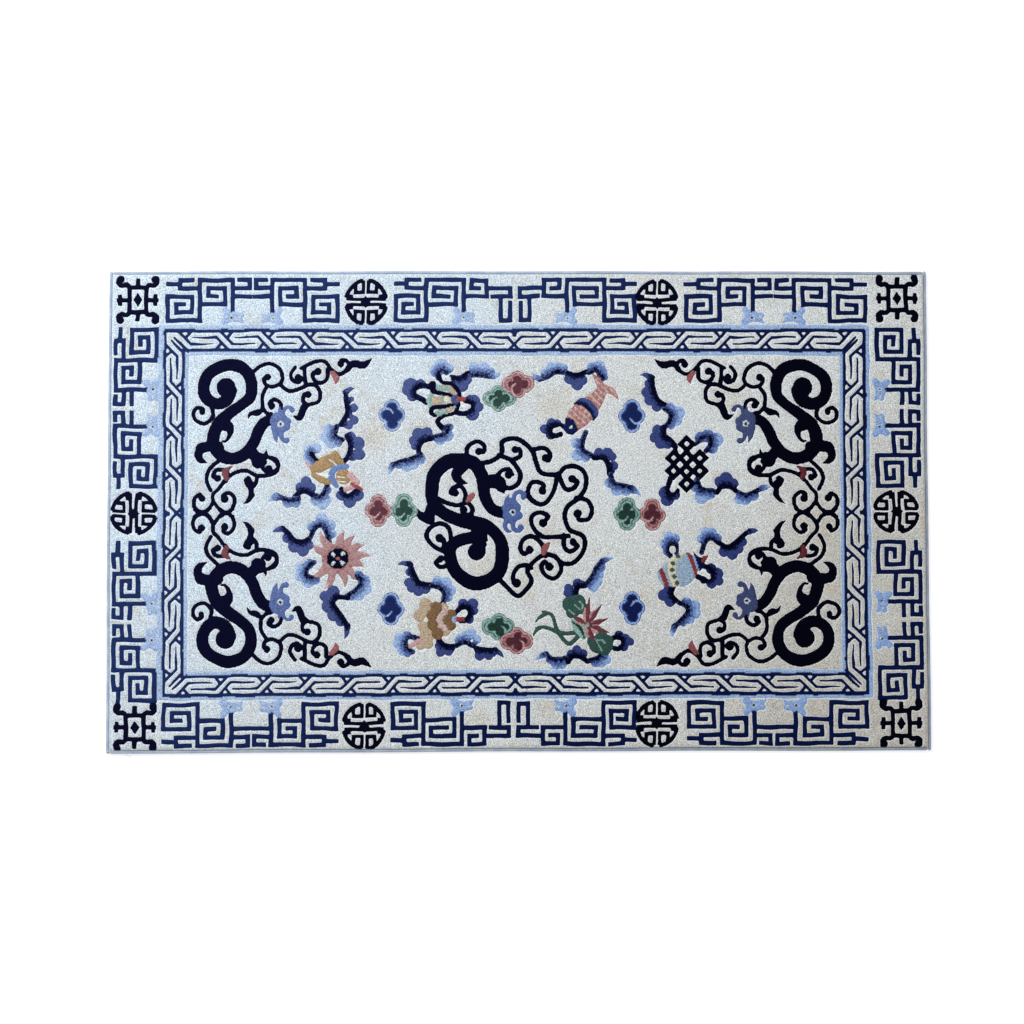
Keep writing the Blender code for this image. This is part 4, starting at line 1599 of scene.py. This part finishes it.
# Materials
class Graph:
    """A material's nodes, made and linked in short lines."""

    def __init__(self, name):
        self.material = bpy.data.materials.new(name)
        self.material.use_nodes = True
        self.tree = self.material.node_tree
        self.shader = self.tree.nodes["Principled BSDF"]

    def node(self, kind, inputs=None, **settings):
        made = self.tree.nodes.new(kind)
        for name, value in settings.items():
            setattr(made, name, value)
        for name, value in (inputs or {}).items():
            self.feed(made.inputs[name], value)
        return made

    def feed(self, socket, value):
        if isinstance(value, bpy.types.NodeSocket):
            self.tree.links.new(value, socket)
        elif socket.type == "RGBA":
            socket.default_value = (*to_linear(value), 1)
        else:
            socket.default_value = value

    def maths(self, operation, first, second):
        return self.node("ShaderNodeMath", {0: first, 1: second}, operation=operation).outputs[0]

    def ramp(self, value, low, high, to_low=0.0, to_high=1.0, kind="SMOOTHSTEP"):
        values = {"Value": value, "From Min": low, "From Max": high, "To Min": to_low, "To Max": to_high}
        return self.node("ShaderNodeMapRange", values, interpolation_type=kind).outputs["Result"]

    def noise(self, place, scale, detail, roughness=0.5):
        values = {"Vector": place, "Scale": scale, "Detail": detail, "Roughness": roughness}
        return self.node("ShaderNodeTexNoise", values).outputs["Fac"]

    def mix(self, share, first, second):
        made = self.node("ShaderNodeMix", data_type="RGBA")
        for socket, value in ((0, share), (6, first), (7, second)):
            self.feed(made.inputs[socket], value)
        return made.outputs[2]

    def scaled(self, colour, factor):
        """A colour made darker or lighter by a factor."""
        values = {0: colour, "Scale": factor}
        return self.node("ShaderNodeVectorMath", values, operation="SCALE").outputs[0]

    def place(self):
        return self.node("ShaderNodeTexCoord").outputs["Object"]

    def drawn_out(self, place, degrees, stretch):
        """Coordinates in which a noise is drawn out along a direction."""
        values = {"Vector": place, "Rotation": (0, 0, math.radians(degrees)), "Scale": (stretch, 1, 1)}
        return self.node("ShaderNodeMapping", values, vector_type="TEXTURE").outputs[0]

    def attribute(self, name, output="Fac"):
        return self.node("ShaderNodeAttribute", attribute_name=name).outputs[output]

    def bump(self, height, distance, strength):
        values = {"Height": height, "Distance": distance, "Strength": strength}
        return self.node("ShaderNodeBump", values).outputs[0]

    def finish(self, colour, normal, roughness, **settings):
        self.feed(self.shader.inputs["Base Color"], colour)
        self.feed(self.shader.inputs["Normal"], normal)
        self.feed(self.shader.inputs["Roughness"], roughness)
        for name, value in settings.items():
            socket = name.replace("_", " ").title().replace("Ior", "IOR")
            self.shader.inputs[socket].default_value = value
        return self.material


# The ground of the pile: its colours from the upper left to the lower right, cool and pale to warmer and
# darker as painted light falloff, and its wear
GROUND_COOL = (0.800, 0.855, 0.900)
GROUND_MIDDLE = (0.815, 0.830, 0.832)
GROUND_WARM = (0.735, 0.722, 0.690)
# A painted highlight for the ground beside the carved lines
CARVED_LINE_HIGHLIGHT = (0.950, 0.970, 0.980)
WORN = (0.760, 0.715, 0.640)
STAINS = (  # middle x and y, and radius, in metres
    (-0.068, -0.107, 0.034),
    (-0.077, -0.390, 0.026),
    (0.053, -0.369, 0.022),
    (0.060, 0.197, 0.038),
    (0.391, 0.220, 0.044),
    (-0.272, 0.142, 0.034),
    (0.560, -0.020, 0.050),
)
STAIN_STRENGTH = 0.40
# The scales of its patches and of its fibres, and how much colour changes with them; the light and dark of
# the fibre grain is partly painted shade of the pile's pebbly relief
DRIFT_SCALE = 2.6
WORN_SCALE = 24
PATCH_SCALE = 4.5
GRAIN_ANGLE = -45
PEBBLE_SCALE = 760
FIBRE_SCALE = 900
LIE_SPAN = (0.36, 0.64)
GROUND_GRAIN_SHADE = (0.52, 1.54)
YARN_GRAIN_SHADE = (0.49, 1.56)
# How the painted light and sheen falloff deepens the yarns towards the lower right
PAINTED_LIGHT_SPAN = (0.35, 1.15)
PAINTED_SHADE_GAMMA = 1.42


def painted_light_side(graph, place):
    """0 at the upper left, where the painted light is brightest, and 1 at the lower right, where the painted
    falloff is darkest.
    """
    spot = graph.node("ShaderNodeSeparateXYZ", {0: place})
    across = graph.maths("MULTIPLY", spot.outputs[0], 1 / SIZE_X)
    down = graph.maths("MULTIPLY", spot.outputs[1], -0.5 / SIZE_Y)
    return graph.maths("ADD", graph.maths("ADD", across, down), 0.75)


def ground_colour(graph, place, corner):
    """The ivory ground: cool and pale at the upper left, warmer and darker towards the lower right as painted
    light falloff, with worn patches.
    """
    drift = graph.ramp(graph.noise(place, DRIFT_SCALE, 3.0), 0.3, 0.7, -0.16, 0.16, "LINEAR")
    share = graph.maths("ADD", corner, drift)
    # Painted light falloff: the ground goes from cool and pale to warm and dark across the rug
    cool = graph.mix(graph.ramp(share, 0.30, 0.75), GROUND_COOL, GROUND_MIDDLE)
    colour = graph.mix(graph.ramp(share, 0.85, 1.45), cool, GROUND_WARM)
    worn = graph.ramp(graph.noise(place, WORN_SCALE, 4.0, 0.62), 0.50, 0.70, 0.0, 0.55)
    patches = graph.ramp(graph.noise(place, PATCH_SCALE, 2.0), 0.40, 0.62, 0.15, 1.0)
    worn = graph.maths("MULTIPLY", worn, patches)
    for x, y, radius in STAINS:
        ends = {0: place, 1: (x, y, PILE_TOP)}
        away = graph.node("ShaderNodeVectorMath", ends, operation="DISTANCE").outputs[1]
        stain = graph.ramp(away, radius * 0.25, radius * 1.3, STAIN_STRENGTH, 0.0)
        worn = graph.maths("MAXIMUM", worn, stain)
    return graph.mix(worn, colour, WORN)


def silk_pile_material():
    """Clipped silk: coloured yarns by the chart, slanting fibre grain partly worked as painted shade of the
    pile's relief, a painted highlight along the carved lines, and painted light falloff towards the lower
    right.
    """
    graph = Graph("silk_pile")
    place = graph.place()
    corner = painted_light_side(graph, place)
    slant = graph.drawn_out(place, GRAIN_ANGLE, 1.7)
    pebbles = graph.noise(slant, PEBBLE_SCALE, 1.0)
    fibres = graph.noise(graph.drawn_out(place, GRAIN_ANGLE, 3.0), FIBRE_SCALE, 2.0, 0.6)
    lie = graph.maths("ADD", graph.maths("MULTIPLY", pebbles, 0.7), graph.maths("MULTIPLY", fibres, 0.3))
    # Fibre grain in the colour: partly the yarn's own tone, partly painted shade of the pile's relief
    light = graph.ramp(lie, *LIE_SPAN, *GROUND_GRAIN_SHADE, "LINEAR")
    edge = graph.maths("ADD", graph.attribute("edge"), graph.ramp(fibres, 0.3, 0.7, -0.30, 0.30, "LINEAR"))
    figure = graph.ramp(edge, -0.85, -0.25)
    ground = ground_colour(graph, place, corner)
    ground = graph.scaled(ground, light)
    # A painted highlight on the ground along each carved line
    ground = graph.mix(graph.ramp(graph.attribute("carved"), 0.5, 2.4, 0.75, 0.0), ground, CARVED_LINE_HIGHLIGHT)
    # Painted light and sheen falloff: the yarns are paler at the upper left and deepen towards the lower
    # right
    gamma = graph.ramp(corner, *PAINTED_LIGHT_SPAN, 1.0, PAINTED_SHADE_GAMMA)
    yarn = {"Color": graph.attribute("yarn", "Color"), "Gamma": gamma}
    yarn = graph.node("ShaderNodeGamma", yarn).outputs[0]
    # The yarns take the same grain, partly painted shade of the pile's relief
    yarn = graph.scaled(yarn, graph.ramp(lie, *LIE_SPAN, *YARN_GRAIN_SHADE, "LINEAR"))
    colour = graph.mix(figure, ground, yarn)
    normal = graph.bump(lie, 0.0012, 0.6)
    return graph.finish(
        colour,
        normal,
        graph.ramp(fibres, 0.3, 0.7, 0.80, 0.65, "LINEAR"),
        specular_ior_level=0.03,
        sheen_weight=0.06,
        sheen_roughness=0.3,
    )


BACK_COTTON = ((0.80, 0.80, 0.76), (0.86, 0.85, 0.80))
BACK_PALENESS = 0.12
BACK_PALE = (0.80, 0.80, 0.78)


def woven_back_material():
    """The back: the same yarns seen as flat rows of knots over cotton, with painted shade in the hollows
    between the rows.
    """
    graph = Graph("woven_back")
    place = graph.place()
    rows = {"Vector": place, "Scale": 160, "Distortion": 1.5, "Detail": 1.0}
    ridges = graph.node("ShaderNodeTexWave", rows, bands_direction="Y").outputs["Fac"]
    columns = {"Vector": place, "Scale": 220, "Distortion": 1.0}
    knots = graph.node("ShaderNodeTexWave", columns).outputs["Fac"]
    speckle = graph.noise(place, 700, 2.0)
    edge = graph.maths("ADD", graph.attribute("edge"), graph.ramp(speckle, 0.3, 0.7, -0.5, 0.5, "LINEAR"))
    figure = graph.ramp(edge, -0.4, 0.4)
    ground = graph.mix(graph.noise(place, 6, 3.0), *BACK_COTTON)
    yarn = graph.mix(BACK_PALENESS, graph.attribute("yarn", "Color"), BACK_PALE)
    # Painted shade: the colour darkens in the hollows between the ridges of the rows
    colour = graph.scaled(graph.mix(figure, ground, yarn), graph.ramp(ridges, 0.0, 0.45, 0.62, 1.0))
    height = graph.maths("ADD", ridges, graph.maths("MULTIPLY", knots, 0.7))
    return graph.finish(colour, graph.bump(height, 0.0006, 0.8), 0.8, specular_ior_level=0.15)


OVERCAST_BLUE = (0.68, 0.74, 0.84)
OVERCAST_WORN = (0.80, 0.84, 0.88)
OVERCAST_PAINTED_SHADE = 0.68


def overcast_silk_material():
    """Pale blue yarn, a little faded and soiled along the edge, and darker towards the lower right as painted
    light falloff.
    """
    graph = Graph("overcast_silk")
    place = graph.place()
    fibre = graph.noise(graph.drawn_out(place, 60, 3.0), 1400, 2.0)
    worn = graph.noise(place, 26, 4.0, 0.65)
    corner = painted_light_side(graph, place)
    colour = graph.mix(graph.ramp(worn, 0.35, 0.70), OVERCAST_BLUE, OVERCAST_WORN)
    colour = graph.scaled(colour, graph.ramp(fibre, 0.35, 0.62, 0.72, 1.05))
    # Painted light falloff: the binding darkens towards the lower right
    colour = graph.scaled(colour, graph.ramp(corner, 0.5, 1.4, 1.0, OVERCAST_PAINTED_SHADE))
    return graph.finish(
        colour,
        graph.bump(fibre, 0.0003, 0.7),
        0.7,
        specular_ior_level=0.1,
        sheen_weight=0.1,
        sheen_roughness=0.4,
    )


LOOSE_END_COLOURS = ((0.82, 0.86, 0.90), (0.93, 0.94, 0.95))
FLOOR_COLOURS = ((0.975, 0.975, 0.975), (0.985, 0.985, 0.985))


def loose_end_material():
    graph = Graph("loose_silk")
    fibre = graph.noise(graph.place(), 1500, 2.0)
    colour = graph.mix(fibre, *LOOSE_END_COLOURS)
    return graph.finish(colour, graph.bump(fibre, 0.0002, 0.6), 0.65, sheen_weight=0.2)


def floor_material():
    graph = Graph("pale_floor")
    tone = graph.noise(graph.place(), 3.0, 2.0)
    colour = graph.mix(tone, *FLOOR_COLOURS)
    graph.finish(colour, graph.bump(tone, 0.0001, 0.1), 0.9)
    graph.feed(graph.shader.inputs["Emission Color"], (1, 1, 1))
    graph.shader.inputs["Emission Strength"].default_value = FLOOR_GLOW
    return graph.material


# The studio
FLOOR_GLOW = 0.30
FLOOR_HALF = 4.0
FLOOR_DROP = 0.0004
CAMERA_AWAY = 3.0
CAMERA_LEAN_X = 0.8
CAMERA_LEAN_Y = 1.86
CAMERA_ROLL = -0.12
LENS = 56.1
SENSOR_WIDTH = 36
AIM = (-0.0141, -0.0027, PILE_TOP)
LIGHTS = (  # name, place, size, watts, colour
    ("window", (-1.9, 1.9, 2.2), 1.8, 70, (0.95, 0.98, 1.0)),
    ("fill", (2.2, -0.6, 2.8), 2.2, 12, (1.0, 0.98, 0.95)),
    ("overhead", (0.0, 0.4, 4.2), 2.6, 36, (1.0, 1.0, 1.0)),
)
SKY = (0.97, 0.985, 1.0)
SKY_STRENGTH = 0.40


def make_camera():
    camera = bpy.data.objects.new("camera", bpy.data.cameras.new("camera"))
    bpy.context.scene.collection.objects.link(camera)
    lean = (CAMERA_LEAN_Y, -CAMERA_LEAN_X, CAMERA_ROLL)
    camera.rotation_euler = [math.radians(degrees) for degrees in lean]
    back = camera.rotation_euler.to_matrix() @ Vector((0, 0, 1))
    camera.location = Vector(AIM) + CAMERA_AWAY * back
    camera.data.lens = LENS
    camera.data.sensor_width = SENSOR_WIDTH
    bpy.context.scene.camera = camera


def make_lights():
    for name, place, size, watts, colour in LIGHTS:
        data = bpy.data.lights.new(name, "AREA")
        data.size = size
        data.energy = watts
        data.color = colour
        light = bpy.data.objects.new(name, data)
        light.location = place
        light.rotation_euler = (Vector(AIM) - Vector(place)).to_track_quat("-Z", "Y").to_euler()
        bpy.context.scene.collection.objects.link(light)
    world = bpy.data.worlds.new("studio")
    world.use_nodes = True
    world.node_tree.nodes["Background"].inputs["Color"].default_value = (*SKY, 1)
    world.node_tree.nodes["Background"].inputs["Strength"].default_value = SKY_STRENGTH
    bpy.context.scene.world = world
    bpy.context.scene.view_settings.view_transform = "Standard"


def make_floor():
    corners = [(x * FLOOR_HALF, y * FLOOR_HALF, 0) for x, y in ((-1, -1), (1, -1), (1, 1), (-1, 1))]
    mesh = bpy.data.meshes.new("floor")
    mesh.from_pydata(corners, [], [(0, 1, 2, 3)])
    floor = bpy.data.objects.new("floor", mesh)
    floor.location.z = -FLOOR_DROP
    bpy.context.scene.collection.objects.link(floor)
    mesh.materials.append(floor_material())


def main():
    make_camera()
    make_lights()
    make_floor()
    inset = PILE_INSET / MM
    weave = work_rug(HALF_LENGTH - inset, HALF_WIDTH - inset, SEED)
    panels = make_pile(weave)
    foundation = make_foundation(weave)
    bindings = make_bindings(weave.random)
    loose_ends = make_loose_ends()
    pile = silk_pile_material()
    overcast = overcast_silk_material()
    for piece in panels:
        piece.data.materials.append(pile)
    foundation.data.materials.append(woven_back_material())
    loose_ends.data.materials.append(loose_end_material())
    for piece in (*panels, foundation):
        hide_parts("rug_pile")
        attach(piece, "root")
    for node, piece in bindings.items():
        piece.data.materials.append(overcast)
        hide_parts(node)
        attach(piece, "root")
    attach(loose_ends, "root")


main()
